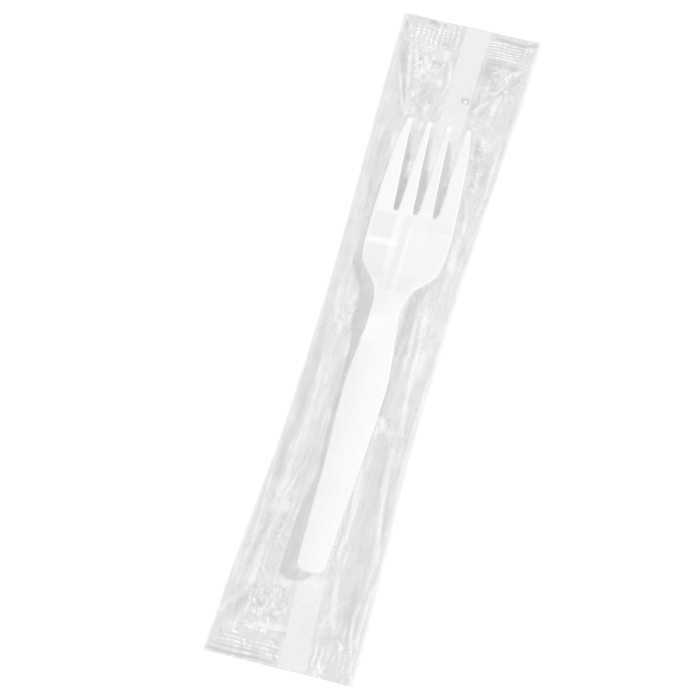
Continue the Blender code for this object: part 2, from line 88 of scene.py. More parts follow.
def zipRows(low, high):
    # Triangles between two rows of (point number, place) that may differ in count
    faces = []
    i = j = 0
    while i < len(low) - 1 or j < len(high) - 1:
        stepLow = j == len(high) - 1
        if not stepLow and i < len(low) - 1:
            stepLow = low[i + 1][1] + low[i][1] <= high[j + 1][1] + high[j][1]
        if stepLow:
            faces.append((low[i][0], low[i + 1][0], high[j][0]))
            i += 1
        else:
            faces.append((low[i][0], high[j + 1][0], high[j][0]))
            j += 1
    return faces


# Shader maths

class Wire:
    # One output socket, so that shader maths reads as plain arithmetic
    def __init__(self, recipe, socket):
        self.recipe = recipe
        self.socket = socket

    def maths(self, operation, *others):
        return self.recipe.node("Math", {"operation": operation}, *((self,) + others))

    def __add__(self, other):
        return self.maths("ADD", other)

    def __radd__(self, other):
        return self.maths("ADD", other)

    def __sub__(self, other):
        return self.maths("SUBTRACT", other)

    def __rsub__(self, other):
        return self.recipe.node("Math", {"operation": "SUBTRACT"}, other, self)

    def __mul__(self, other):
        return self.maths("MULTIPLY", other)

    def __rmul__(self, other):
        return self.maths("MULTIPLY", other)

    def within(self, low, high):
        # 0 below low, 1 above high, eased between
        settings = {"interpolation_type": "SMOOTHSTEP"}
        return self.recipe.node("MapRange", settings, self, low, high, 0.0, 1.0)


class Recipe:
    # A material and its nodes
    def __init__(self, name):
        self.material = bpy.data.materials.new(name)
        self.material.use_nodes = True
        self.tree = self.material.node_tree
        self.shader = self.tree.nodes["Principled BSDF"]

    def plug(self, socket, value):
        if isinstance(value, Wire):
            self.tree.links.new(value.socket, socket)
        elif value is not None:
            socket.default_value = value

    def node(self, kind, settings=None, *values, output=0, **named):
        made = self.tree.nodes.new("ShaderNode" + kind)
        for key, value in (settings or {}).items():
            setattr(made, key, value)
        for socket, value in zip(made.inputs, values):
            self.plug(socket, value)
        for key, value in named.items():
            self.plug(made.inputs[key], value)
        return Wire(self, made.outputs[output])

    def set(self, name, value):
        self.plug(self.shader.inputs[name], value)

    def attribute(self, name):
        return self.node("Attribute", {"attribute_name": name}, output="Fac")


def makeMesh(name, points, faces, material, attributes=None):
    mesh = bpy.data.meshes.new(name)
    mesh.from_pydata(points, [], faces)
    mesh.validate()
    mesh.materials.append(material)
    for key, values in (attributes or {}).items():
        layer = mesh.attributes.new(key, "FLOAT", "POINT")
        layer.data.foreach_set("value", np.asarray(values, dtype=np.float32))
    mesh.shade_smooth()
    made = bpy.data.objects.new(name, mesh)
    bpy.context.scene.collection.objects.link(made)
    return made


# The fork's outline and heights, with s from the tips along the fork and x across it

fork = {
    "length": 0.15186, "tines": 4, "tineLength": 0.02965, "tinePitch": 0.00597, "tipWidth": 0.00140,
    "slotRoot": 0.00135, "slotTaper": 0.85, "headWidth": 0.02496, "headLength": 0.0474,
    "shoulder": 0.0165, "neckWidth": 0.0086, "handleWidth": 0.0123, "bulge": 0.0245,
    "middleWidth": 0.0100, "endWidth": 0.0080, "endRadius": 0.0029,
    "tineOutline": ((0.28, 0.510), (0.59, 0.735), (1.0, 0.955)),
    "shoulderOutline": ((0.0, 0.895), (0.30, 0.550), (0.48, 0.270), (0.66, 0.115)),
    "tipThickness": 0.0009, "headThickness": 0.0013, "rimDepth": 0.0018, "rimWidth": 0.0011,
    "rimSlope": 0.0006, "web": 0.0011,
    "tipRise": 0.0062, "rootRise": 0.0012, "neckRise": 0.0044, "endRise": 0.0044, "handleLow": 0.0360,
    "tineBend": (0.35, 0.75), "headBend": (0.40, 0.50), "neckBend": (0.45, 0.30), "endBend": (0.60, 0.55),
    "dish": 0.0007, "crown": 0.0004, "seat": 0.0001,
    "nubOut": 0.0004, "nubLength": 0.0012, "nubFromNeck": 0.0098, "nubBlend": 0.0012,
    "edgeRound": 0.00034, "offset": 0.0001, "lean": math.radians(0.55), "roomAtTips": 0.0406,
    # how finely it is divided, as steps, shares of a rounding and degrees round a curve
    "rowStep": 0.0008, "outlineStep": 0.00006, "bluntTip": 0.3, "edgeShares": (0.0, 0.14, 0.5, 1.0),
    "tipShares": (0.0, 0.06, 0.18, 0.36, 0.62, 1.0), "slotTurns": (-72, -54, -36, -18, 0, 18, 36, 54, 72),
    "endTurns": (12, 24, 36, 48, 60, 70, 78, 84, 88, 90),
}
neck = fork["headLength"] + fork["shoulder"]
crest = neck + 0.05 * fork["bulge"]
bulge = neck + fork["bulge"]
lowPoint = fork["length"] - fork["handleLow"]
bowl = (fork["tineLength"] + fork["headLength"]) / 2.0
tipsHalf = (fork["tines"] - 1) / 2.0 * fork["tinePitch"] + fork["tipWidth"] / 2.0
headHalf, neckHalf = fork["headWidth"] / 2.0, fork["neckWidth"] / 2.0
forkTip = Vector((fork["offset"], sleeveHigh.y - fork["roomAtTips"], 0.0))

outerHalf = curveThrough((
    (0.0, tipsHalf),
    *((at * fork["tineLength"], tipsHalf + share * (headHalf - tipsHalf))
      for at, share in fork["tineOutline"]),
    (bowl, headHalf),
    *((fork["headLength"] + at * fork["shoulder"], neckHalf + share * (headHalf - neckHalf))
      for at, share in fork["shoulderOutline"]),
    (neck, neckHalf),
    (bulge, fork["handleWidth"] / 2.0),
    ((bulge + fork["length"]) / 2.0, fork["middleWidth"] / 2.0),
    (fork["length"], fork["endWidth"] / 2.0),
))
underside = curveThrough((
    (0.0, fork["tipRise"]),
    (fork["tineBend"][0] * fork["tineLength"],
     fork["rootRise"] + fork["tineBend"][1] * (fork["tipRise"] - fork["rootRise"])),
    (fork["tineLength"], fork["rootRise"]),
    (bowl, 0.0),
    (fork["headLength"] + fork["headBend"][0] * fork["shoulder"], fork["headBend"][1] * fork["neckRise"]),
    (crest, fork["neckRise"]),
    (neck + fork["neckBend"][0] * fork["bulge"], fork["neckBend"][1] * fork["neckRise"]),
    (bulge, 0.0),
    (lowPoint, 0.0),
    (fork["length"] - fork["endBend"][0] * fork["handleLow"], fork["endBend"][1] * fork["endRise"]),
    (fork["length"], fork["endRise"]),
))
thickness = curveThrough((
    (0.0, fork["tipThickness"]),
    (fork["tineLength"], fork["headThickness"]),
    (fork["headLength"], fork["headThickness"]),
    (neck, fork["rimDepth"]),
    (fork["length"], fork["rimDepth"]),
))
camber = curveThrough((
    (0.0, 0.2 * fork["dish"]),
    (fork["tineLength"], 0.9 * fork["dish"]),
    (bowl, fork["dish"]),
    (neck, -0.5 * fork["crown"]),
    (bulge, -fork["crown"]),
    (fork["length"], -fork["crown"]),
))


def halfWidth(s):
    past = np.maximum(0.0, s - (fork["length"] - fork["endRadius"]))
    round_ = np.sqrt(np.maximum(0.0, fork["endRadius"] ** 2 - past ** 2)) - fork["endRadius"]
    return outerHalf(s) + round_


def topHeight(s, x):
    across = x / outerHalf(s)
    return underside(s) + thickness(s) + camber(s) * across * across


def bottomHeight(s, x):
    fromEdge = np.minimum(halfWidth(s) - np.abs(x), fork["length"] - s)
    hollow = ease((fromEdge - fork["rimWidth"]) / fork["rimSlope"])
    hollow = hollow * ease((s - fork["headLength"]) / fork["shoulder"])
    deep = thickness(s)
    return topHeight(s, x) - deep + hollow * np.maximum(0.0, deep - fork["web"])


def slotHalf(s):
    widest = fork["tinePitch"] - fork["tipWidth"]
    share = (1.0 - min(1.0, s / fork["tineLength"])) ** fork["slotTaper"]
    return (fork["slotRoot"] + share * (widest - fork["slotRoot"])) / 2.0


def slotCentre(slot):
    return (slot - (fork["tines"] - 2) / 2.0) * fork["tinePitch"]


def acrossEdges(left, right):
    # Columns from left to right, close together where the edges are rounded
    middle, half = (left + right) / 2.0, (right - left) / 2.0
    insets = [min(fork["edgeRound"], 0.7 * half) * share for share in fork["edgeShares"]]
    flat = half - insets[-1]
    steps = [half - inset for inset in insets] + [flat * 2.0 / 3.0, flat / 3.0]
    return [middle - step for step in steps] + [middle] + [middle + step for step in reversed(steps)]


def tineColumns(tine, s):
    slot = slotHalf(s)
    left = -halfWidth(s) if tine == 0 else slotCentre(tine - 1) + slot
    right = halfWidth(s) if tine == fork["tines"] - 1 else slotCentre(tine) - slot
    tipRound = fork["tipWidth"] / 2.0
    if s < tipRound:
        short = 1.0 - s / tipRound
        middle, half = (left + right) / 2.0, (right - left) / 2.0
        half *= max(fork["bluntTip"], math.sqrt(1.0 - short * short))
        left, right = middle - half, middle + half
    return acrossEdges(left, right)


def forkPlan():
    # The fork seen from above: its points as (s, x), and its four-sided cells
    points, cells = [], []

    def addRow(places):
        first = len(points)
        points.extend(places)
        return list(range(first, len(points)))

    def joinRows(near, far):
        for i in range(len(near) - 1):
            cells.append((near[i], near[i + 1], far[i + 1], far[i]))

    root = fork["slotRoot"] / 2.0
    rootRow, starts = [], []
    for tine in range(fork["tines"]):
        starts.append(len(rootRow))
        rootRow += [(fork["tineLength"] - root, x) for x in tineColumns(tine, fork["tineLength"])]
        if tine < fork["tines"] - 1:
            for turn in map(math.radians, fork["slotTurns"]):
                back = root * (1.0 - math.cos(turn))
                rootRow.append((fork["tineLength"] - back, slotCentre(tine) + root * math.sin(turn)))
    rootNumbers = addRow(rootRow)
    tipRound = fork["tipWidth"] / 2.0
    tipSteps = [tipRound * share for share in fork["tipShares"]]
    shankCount = int((fork["tineLength"] - tipRound) / fork["rowStep"])
    shankLength = fork["tineLength"] - root - tipRound
    shank = [tipRound + shankLength * i / shankCount for i in range(1, shankCount)]
    for tine, start in enumerate(starts):
        rows = [addRow([(s, x) for x in tineColumns(tine, s)]) for s in tipSteps + shank]
        rows.append(rootNumbers[start:start + len(rows[0])])
        for near, far in zip(rows, rows[1:]):
            joinRows(near, far)

    # Past the slots the outer columns keep to the round edge and the others spread evenly
    columns = [x for s, x in rootRow]
    keep = fork["edgeRound"]
    flatReference = float(halfWidth(fork["tineLength"])) - keep
    stations = [fork["tineLength"] + keep * share for share in fork["edgeShares"][1:]]
    last = fork["length"] - fork["endRadius"]
    count = int((last - stations[-1]) / fork["rowStep"])
    stations += [stations[-1] + (last - stations[-1]) * i / count for i in range(1, count + 1)]
    stations += [last + fork["endRadius"] * math.sin(math.radians(turn)) for turn in fork["endTurns"]]
    nub = neck + fork["nubFromNeck"]
    previous = rootNumbers
    for s in stations:
        half = float(halfWidth(s))
        row = []
        for x in columns:
            inset = abs(columns[0]) - abs(x)
            inside = half - inset if inset < keep - 1e-7 else abs(x) * (half - keep) / flatReference
            row.append((s, math.copysign(inside, x)))
        out = fork["nubOut"] * float(bump((s - nub) / fork["nubLength"])) ** 0.5
        blend = fork["nubBlend"]
        row = [(s, x - out * max(0.0, min(1.0, (-x - half + blend) / blend))) for s, x in row]
        numbers = addRow(row)
        joinRows(previous, numbers)
        previous = numbers
    return np.array(points), cells


def edgeDrop(plan, rim):
    # How far each point drops so that the edges are round, by its distance from the outline
    outline = []
    for a, b in rim:
        run = plan[b] - plan[a]
        pieces = max(1, int(np.hypot(*run) / fork["outlineStep"]))
        outline.extend(plan[a] + run * i / pieces for i in range(pieces))
    tree = KDTree(len(outline))
    for i, (s, x) in enumerate(outline):
        tree.insert((s, x, 0.0), i)
    tree.balance()
    away = np.array([tree.find((s, x, 0.0))[2] for s, x in plan])
    away[[i for edge in rim for i in edge]] = 0.0
    radius = fork["edgeRound"]
    inside = np.clip(radius - away, 0.0, radius)
    return radius - np.sqrt(np.maximum(0.0, radius ** 2 - inside ** 2))


def makeFork(material):
    plan, cells = forkPlan()
    directed = {(start, cell[(i + 1) % 4]) for cell in cells for i, start in enumerate(cell)}
    rim = sorted((a, b) for a, b in directed if (b, a) not in directed)
    drop = edgeDrop(plan, rim)
    s, x = plan[:, 0], plan[:, 1]
    lift = forkLow.z + fork["seat"]
    top = topHeight(s, x) - drop + lift
    low = bottomHeight(s, x) + drop + lift
    cosLean, sinLean = math.cos(fork["lean"]), math.sin(fork["lean"])
    px = forkTip.x + x * cosLean + s * sinLean
    py = forkTip.y + x * sinLean - s * cosLean
    places = np.concatenate([np.stack([px, py, top], axis=1), np.stack([px, py, low], axis=1)])
    count = len(plan)
    faces = [tuple(reversed(cell)) for cell in cells]
    faces += [tuple(i + count for i in cell) for cell in cells]
    faces += [(a, b, b + count, a + count) for a, b in rim]
    return makeMesh("whiteFork", places.tolist(), faces, material)


# The film sleeve: its finish, its outline and its heights over the fork

filmLook = {
    # how dense the veil of each part is, and how its sides thin out; the back film's denser veil is
    # partly painted shadow of the film on the floor
    "frontVeil": 0.035, "backVeil": 0.160, "seamVeil": 0.268, "sealVeil": 0.188, "sealSeamVeil": 0.355,
    "brightVeil": 0.17, "dullVeil": 0.055, "sideVeil": 0.30, "sideReach": 0.0010, "rightReach": 0.0018,
    # how light the veil is, the tones of its painted highlights and painted shade, and how strong its
    # marks are
    "tone": 0.20, "whiteTone": 0.675, "brightTone": 0.98, "dullTone": 0.04, "mostBright": 1.30,
    "ridge": 0.85, "furrow": 1.15, "rib": 0.17, "line": 0.42, "ventRimShade": 3.0, "roughness": 0.30,
    # how fine its patterns are, in turns a metre, and how far they bend
    "cloud": 170.0, "patches": 420.0, "bends": 260.0, "bend": 0.0030, "folds": 520.0, "furrows": 430.0,
    "hairs": 1300.0,
}
sleeve = {
    "endWidth": 0.0428, "waistWidth": 0.0372, "waistFromTines": 0.1110, "waistFromHandle": 0.0860,
    "film": 0.00005, "endMargin": 0.0025, "sealDepth": 0.0068, "sealStep": 0.0012,
    "seamWidth": 0.0075, "seamOffset": 0.0024, "seamDrift": 0.0016, "driftLength": 0.0300,
    "seamThickness": 0.00013, "seamRamp": 0.0012, "seamStep": 0.00012,
    "edgePuff": 0.0006, "edgeReach": 0.0010, "flatPuff": 0.0008, "edgeSlack": 0.0030,
    "standoff": 0.0006, "reach": 0.0014, "tentRun": 1.05, "tentHollow": 1.6,
    "bowlBridge": 0.0016, "dipBridge": 0.0008, "rightBow": 0.0008, "endTaper": 0.0030,
    "vent": 0.0013, "ventFromTines": 0.0268, "ventOffset": 0.0046,
    # heights of its crumples, streaks and puckers, and the cells they come in
    "crumpleTall": 0.00055, "crumpleCell": 0.0034, "leastCrumple": 0.14, "streakTall": 0.00022,
    "puckerTall": 0.0003, "puckerCell": 0.0042, "mostPucker": 0.00025, "sealWave": 0.00012,
    "heldFlat": 0.35, "leastHeight": 0.0005, "forkGap": 0.00025, "forkMargin": 0.0008,
    # how it is divided, and the marks that its tables are in
    "frontColumns": 78, "backColumns": 30, "rows": 370, "sealColumns": 156, "sealRows": 20,
    "endRow": 0.00006, "marks": 219.0, "middleMark": 21.2,
    # how far to the left and away a raised mark was seen, for its height
    "seenRight": 0.14, "seenUp": 0.52,
}
sleeveLength = sleeveHigh.y - sleeveLow.y
sleeveTop = sleeveHigh.y
filmWall = sleeve["film"]
hollowEnd = sleeveTop - sleeve["endMargin"] - sleeve["sealDepth"] - sleeve["sealStep"]
mark = sleeveLength / sleeve["marks"]


def sleeveHalf(y):
    narrow = np.minimum(ease((sleeveTop - y) / sleeve["waistFromTines"]),
                        ease((sleeveTop + y) / sleeve["waistFromHandle"]))
    return (sleeve["endWidth"] - narrow * (sleeve["endWidth"] - sleeve["waistWidth"])) / 2.0


def seamCentre(y):
    drift = sleeve["seamDrift"] * ease(1.0 - (sleeveTop + y) / sleeve["driftLength"])
    return sleeve["seamOffset"] + drift


def forkPlace(x, y):
    # Length along the fork and distance across it, for a point of the sleeve
    cosLean, sinLean = math.cos(fork["lean"]), math.sin(fork["lean"])
    dx, dy = x - forkTip.x, y - forkTip.y
    return -dy * cosLean + dx * sinLean, dx * cosLean + dy * sinLean


def overFork(s):
    return forkLow.z + underside(s) + thickness(s) + np.maximum(0.0, camber(s)) + sleeve["standoff"]


bridge = curveThrough((
    (0.0, float(overFork(0.0))),
    (bowl, float(overFork(bowl)) + sleeve["bowlBridge"]),
    (crest, float(overFork(crest))),
    (lowPoint, float(overFork(lowPoint)) + sleeve["dipBridge"]),
    (fork["length"], float(overFork(fork["length"]))),
))


def tentOver(x, y):
    # Height of the smooth front film, and how far down the slope from the fork it is
    s, across = forkPlace(x, y)
    nearest = np.clip(s, 0.0, fork["length"])
    aside = np.maximum(0.0, np.abs(across) - outerHalf(nearest) - sleeve["reach"])
    beyond = np.maximum(0.0, np.abs(s - nearest) - sleeve["reach"])
    peak = np.maximum(overFork(nearest), bridge(nearest))
    share = np.minimum(1.0, np.hypot(aside, beyond) / (sleeve["tentRun"] * peak))
    return (1.0 - share) ** sleeve["tentHollow"] * (peak - sleeve["flatPuff"]), share


# Creases of the front film. Places are marks from the left side and from the tine end, of
# which the sleeve is 219 long. Each crease is (half width in mm, height in mm, painted highlight above 0
# and painted shade below 0, places); a bright crease is partly whitened film and partly painted highlight
creases = (
    # tine end, left of the seam
    (0.55, 0.50, 0.9, (3.3, 17.5), (5.0, 23.5), (7.2, 30.0), (9.4, 36.0)),
    (0.60, 0.55, 0.8, (5.0, 9.5), (5.5, 15.0), (6.9, 20.5), (7.6, 25.5), (10.0, 35.5)),
    (0.60, 0.40, 0.6, (6.8, 11.0), (7.9, 16.0), (9.1, 21.5)),
    (1.00, -0.30, -0.9, (3.0, 10.0), (3.6, 15.0), (4.6, 20.0), (5.2, 23.0)),
    (0.75, -0.25, -0.9, (6.2, 24.6), (6.9, 27.0), (7.9, 30.5)),
    (0.55, 0.45, 0.9, (10.0, 13.6), (11.0, 15.3), (11.9, 16.6), (11.1, 18.6), (10.4, 20.8)),
    (0.90, -0.20, -0.7, (9.3, 16.6), (10.2, 17.6)),
    (0.70, -0.20, -0.6, (13.0, 15.8), (13.2, 17.4)),
    (0.80, -0.20, -0.7, (11.6, 19.4), (11.2, 21.6)),
    (0.95, 0.45, 0.7, (14.6, 16.6), (15.6, 19.2), (16.9, 22.4)),
    (1.10, -0.30, -0.8, (15.0, 14.9), (16.6, 16.2), (17.2, 18.0)),
    (0.55, 0.35, 0.6, (16.6, 10.6), (17.8, 14.0), (19.0, 18.0), (19.4, 21.0), (18.4, 26.0)),
    (0.50, -0.25, -0.7, (18.9, 11.3), (19.4, 14.6)),
    (0.60, -0.25, -0.6, (8.0, 11.5), (9.0, 14.5)),
    (0.60, -0.20, -0.6, (14.4, 11.5), (14.0, 15.0)),
    (1.30, -0.25, -0.55, (15.5, 24.5), (15.0, 28.0), (17.4, 31.0), (17.7, 35.0)),
    (0.60, 0.35, 0.6, (16.4, 29.6), (14.8, 31.6), (14.8, 34.0), (17.0, 36.5)),
    (0.55, 0.35, 0.6, (20.0, 28.8), (18.6, 32.0), (18.0, 36.0)),
    (0.80, 0.25, 0.5, (9.4, 25.8), (10.0, 29.0)),
    (0.90, -0.15, -0.4, (13.0, 25.0), (12.6, 31.0), (13.2, 35.0)),
    # tine end, right of the seam
    (1.50, -0.20, -0.75, (28.6, 10.8), (28.6, 13.0), (29.4, 16.4)),
    (1.00, -0.20, -0.6, (30.0, 10.6), (33.0, 10.6), (37.0, 10.6)),
    (0.50, 0.40, 0.8, (31.0, 14.4), (32.4, 13.6), (33.5, 12.2)),
    (0.75, 0.50, 0.8, (35.0, 15.2), (36.6, 13.4), (38.4, 11.6)),
    (0.55, -0.40, -0.8, (39.0, 13.0), (36.6, 17.0), (34.6, 20.6), (33.2, 23.6), (31.8, 27.0)),
    (0.55, 0.40, 0.8, (28.9, 29.4), (30.4, 26.6), (32.4, 24.0)),
    (0.50, 0.30, 0.6, (29.8, 17.6), (30.6, 19.2), (30.8, 22.4)),
    (0.45, 0.30, 0.6, (33.4, 14.6), (34.2, 17.0)),
    (0.50, 0.30, 0.5, (31.6, 21.8), (33.4, 20.4), (35.6, 19.0)),
    (0.70, -0.25, -0.6, (32.2, 17.0), (32.6, 20.0)),
    (0.70, -0.25, -0.7, (28.8, 22.0), (29.0, 25.0), (28.2, 28.4)),
    (0.45, 0.30, 0.5, (27.8, 20.8), (28.2, 25.2)),
    (0.60, 0.25, 0.5, (31.0, 31.4), (32.2, 30.4)),
    (0.80, -0.20, -0.6, (32.6, 30.0), (30.6, 32.0), (31.2, 34.6)),
    (0.40, 0.10, -1.1, (25.0, 24.8), (24.5, 25.6), (24.9, 26.6)),
    (0.40, 0.10, -0.9, (26.3, 24.8), (26.9, 25.6), (26.5, 26.5)),
    # beside the head
    (1.10, 0.30, 0.35, (33.4, 38.2), (34.8, 40.0), (34.8, 42.4)),
    (0.60, -0.30, -0.7, (32.0, 38.0), (32.6, 43.6), (33.8, 47.0), (33.9, 53.0)),
    (0.60, 0.25, 0.5, (34.2, 55.4), (35.6, 56.6)),
    (0.55, 0.35, 0.6, (39.0, 37.0), (38.8, 47.0), (38.6, 58.0), (38.0, 68.0)),
    (0.45, -0.25, -0.5, (40.2, 36.0), (40.0, 52.0), (39.4, 70.0), (38.8, 84.0)),
    (0.50, 0.25, 0.5, (33.6, 58.0), (35.0, 64.0), (35.8, 71.0)),
    (0.60, -0.25, -0.6, (36.8, 70.0), (37.0, 80.0)),
    (0.90, 0.20, 0.4, (34.8, 74.0), (35.4, 86.0), (35.2, 94.0)),
    (0.60, 0.25, 0.4, (2.6, 68.0), (4.4, 73.0), (5.0, 80.0)),
    # beside the neck and the handle, left
    (0.80, 0.30, 0.25, (6.4, 94.0), (6.8, 103.0), (8.4, 109.0)),
    (0.90, 0.35, 0.8, (9.4, 108.6), (9.8, 112.0)),
    (1.20, -0.20, -0.5, (5.0, 104.0), (5.6, 116.0), (6.2, 128.0), (6.0, 142.0)),
    (1.30, 0.50, 0.25, (8.6, 116.0), (8.7, 128.0), (8.6, 138.0), (7.6, 149.0), (7.4, 158.0)),
    (1.10, 0.45, 0.35, (7.4, 156.0), (8.3, 164.0), (8.8, 170.0), (8.6, 177.0), (7.3, 184.0),
     (6.8, 194.0)),
    (0.45, 0.35, 0.6, (12.2, 154.0), (10.8, 160.0), (9.2, 167.0)),
    (1.00, 0.30, 0.4, (11.0, 121.0), (11.4, 130.0), (11.0, 141.0)),
    (0.50, 0.30, 0.6, (12.0, 167.4), (12.4, 169.4)),
    (0.50, 0.35, 0.8, (10.8, 179.4), (12.2, 181.4), (13.2, 183.0)),
    (1.00, -0.20, -0.5, (5.4, 150.0), (5.4, 165.0), (6.6, 178.0), (5.2, 188.0)),
    (0.50, 0.30, 0.4, (3.2, 150.0), (3.8, 168.0), (4.2, 184.0), (3.0, 198.0)),
    # beside the neck and the handle, right
    (0.80, 0.40, 0.40, (30.6, 91.0), (32.0, 100.0), (33.2, 110.0), (33.8, 124.0), (34.6, 134.0),
     (35.8, 141.0)),
    (0.60, 0.30, 0.5, (30.2, 96.0), (30.2, 104.0), (31.0, 114.0), (30.6, 120.0)),
    (0.45, -0.30, -0.6, (34.6, 126.0), (35.8, 136.0), (36.9, 143.0)),
    (0.85, 0.45, 0.50, (33.2, 139.0), (34.4, 150.0), (35.4, 160.0), (36.8, 169.0), (38.4, 178.0),
     (38.2, 192.0)),
    (0.45, -0.30, -0.6, (36.4, 155.0), (37.4, 165.0), (38.8, 175.0)),
    (0.45, 0.25, 0.5, (38.2, 120.0), (38.0, 140.0), (38.6, 160.0)),
    (2.20, -0.25, -0.15, (31.4, 142.0), (31.8, 160.0), (33.2, 172.0), (33.6, 182.0)),
    (0.60, 0.30, 0.45, (27.9, 152.0), (27.8, 160.0), (28.8, 167.0), (29.0, 174.0), (27.8, 184.0)),
    (0.80, 0.25, 0.5, (29.0, 136.0), (30.2, 138.6)),
    # handle end
    (0.80, 0.50, 0.55, (29.8, 187.0), (30.4, 192.0), (31.2, 197.0), (32.3, 202.0), (33.0, 205.4)),
    (0.55, 0.45, 0.8, (37.6, 194.0), (37.2, 199.0), (38.0, 205.0), (39.0, 209.0)),
    (0.60, 0.30, 0.6, (40.0, 186.0), (39.6, 197.0), (40.0, 207.0)),
    (1.50, -0.25, -0.6, (35.2, 190.0), (35.4, 200.0), (36.4, 205.6)),
    (0.55, 0.40, 0.9, (34.7, 206.2), (35.9, 208.0), (37.6, 209.2)),
    (0.35, -0.20, -0.7, (27.6, 207.9), (31.0, 206.8), (34.0, 205.9)),
    (0.50, -0.20, -0.6, (28.6, 198.0), (28.8, 200.5), (29.2, 203.0)),
    (1.00, 0.45, 0.6, (7.4, 189.0), (7.6, 195.0), (5.6, 199.4), (3.2, 202.6), (1.8, 205.4)),
    (2.20, -0.30, -0.45, (7.0, 197.6), (6.0, 201.0), (4.8, 204.6), (3.6, 206.6)),
    (0.45, 0.30, 0.6, (8.0, 197.4), (8.4, 201.0), (8.2, 206.0)),
    (0.50, 0.35, 0.7, (8.4, 189.4), (10.8, 192.2)),
    (0.80, -0.25, -0.8, (10.8, 200.4), (12.2, 201.0)),
    (0.90, -0.30, -0.9, (15.4, 204.0), (16.8, 204.8)),
    (0.60, -0.25, -0.8, (18.4, 202.6), (19.4, 203.8)),
    (0.50, -0.20, -0.7, (19.0, 198.4), (19.2, 200.0)),
    (0.50, -0.20, -0.6, (14.4, 194.4), (15.8, 194.6)),
    (0.55, 0.30, 0.7, (9.6, 195.6), (10.8, 196.8)),
    (0.50, 0.30, 0.6, (13.8, 195.8), (16.0, 195.6)),
    (0.70, 0.35, 0.6, (11.4, 202.4), (12.4, 204.4)),
    (0.50, 0.35, 0.6, (14.0, 202.0), (14.3, 204.4), (15.4, 206.4)),
    (0.60, 0.35, 0.6, (9.4, 203.4), (10.6, 204.2)),
    (0.60, 0.30, 0.6, (16.0, 202.8), (17.4, 202.4)),
    (0.95, 0.35, 0.30, (9.0, 207.6), (14.0, 207.4), (20.0, 206.6)),
    (0.40, -0.30, -0.9, (7.6, 210.0), (12.0, 209.5), (18.6, 208.6)),
    (0.35, 0.30, 0.8, (16.6, 210.0), (19.0, 209.3), (21.6, 208.4)),
    (0.35, -0.15, -0.7, (22.6, 199.6), (23.8, 198.8), (25.6, 198.2)),
)
# Creases of the flat seals, in the same form: painted highlights and painted shade with no height
sealCreases = (
    (4.20, 0.0, -0.12, (31.6, 5.4), (38.6, 5.4)),
    (3.00, 0.0, -0.05, (5.0, 213.6), (16.0, 213.6)),
    (0.75, 0.0, -1.1, (8.4, 0.9), (10.0, 1.2), (11.2, 1.6)),
    (0.70, 0.0, -0.9, (12.8, 1.0), (13.5, 1.4)),
    (0.60, 0.0, -0.9, (28.8, 1.9), (33.0, 2.0), (37.0, 2.4), (41.8, 1.2)),
    (0.55, 0.0, -0.7, (36.0, 2.7), (38.0, 2.6)),
    (0.70, 0.0, -0.8, (27.8, 9.8), (30.0, 9.8), (32.8, 9.6)),
    (0.60, 0.0, -0.7, (8.2, 9.8), (10.0, 9.9), (13.4, 10.0)),
    (0.60, 0.0, -0.7, (14.4, 8.0), (16.0, 8.0)),
    (0.40, 0.0, 0.30, (11.6, 7.6), (12.0, 8.4)),
    (0.70, 0.0, 0.20, (2.8, 3.0), (3.4, 5.4)),
    (0.60, 0.0, -0.6, (1.6, 3.0), (2.4, 5.6)),
    (0.50, 0.0, -1.2, (0.4, 217.6), (6.0, 218.0), (10.0, 217.9), (15.0, 217.5), (19.0, 217.8)),
    (0.45, 0.0, 0.35, (10.3, 212.8), (10.8, 215.0)),
    (0.50, 0.0, 0.25, (6.4, 211.2), (8.2, 211.6)),
    (0.50, 0.0, -0.6, (3.0, 211.6), (3.6, 213.4)),
    (0.45, 0.0, -0.6, (1.0, 216.0), (8.0, 216.2), (17.0, 215.8)),
    (0.45, 0.0, 0.20, (9.0, 216.8), (15.0, 216.6)),
    (0.60, 0.0, -0.6, (17.8, 210.8), (19.8, 212.0)),
    (0.50, 0.0, -0.6, (18.2, 214.0), (20.4, 214.2)),
    (0.50, 0.0, -0.7, (19.4, 215.6), (20.6, 217.4)),
    (0.60, 0.0, 0.20, (40.0, 212.0), (40.4, 216.0)),
)
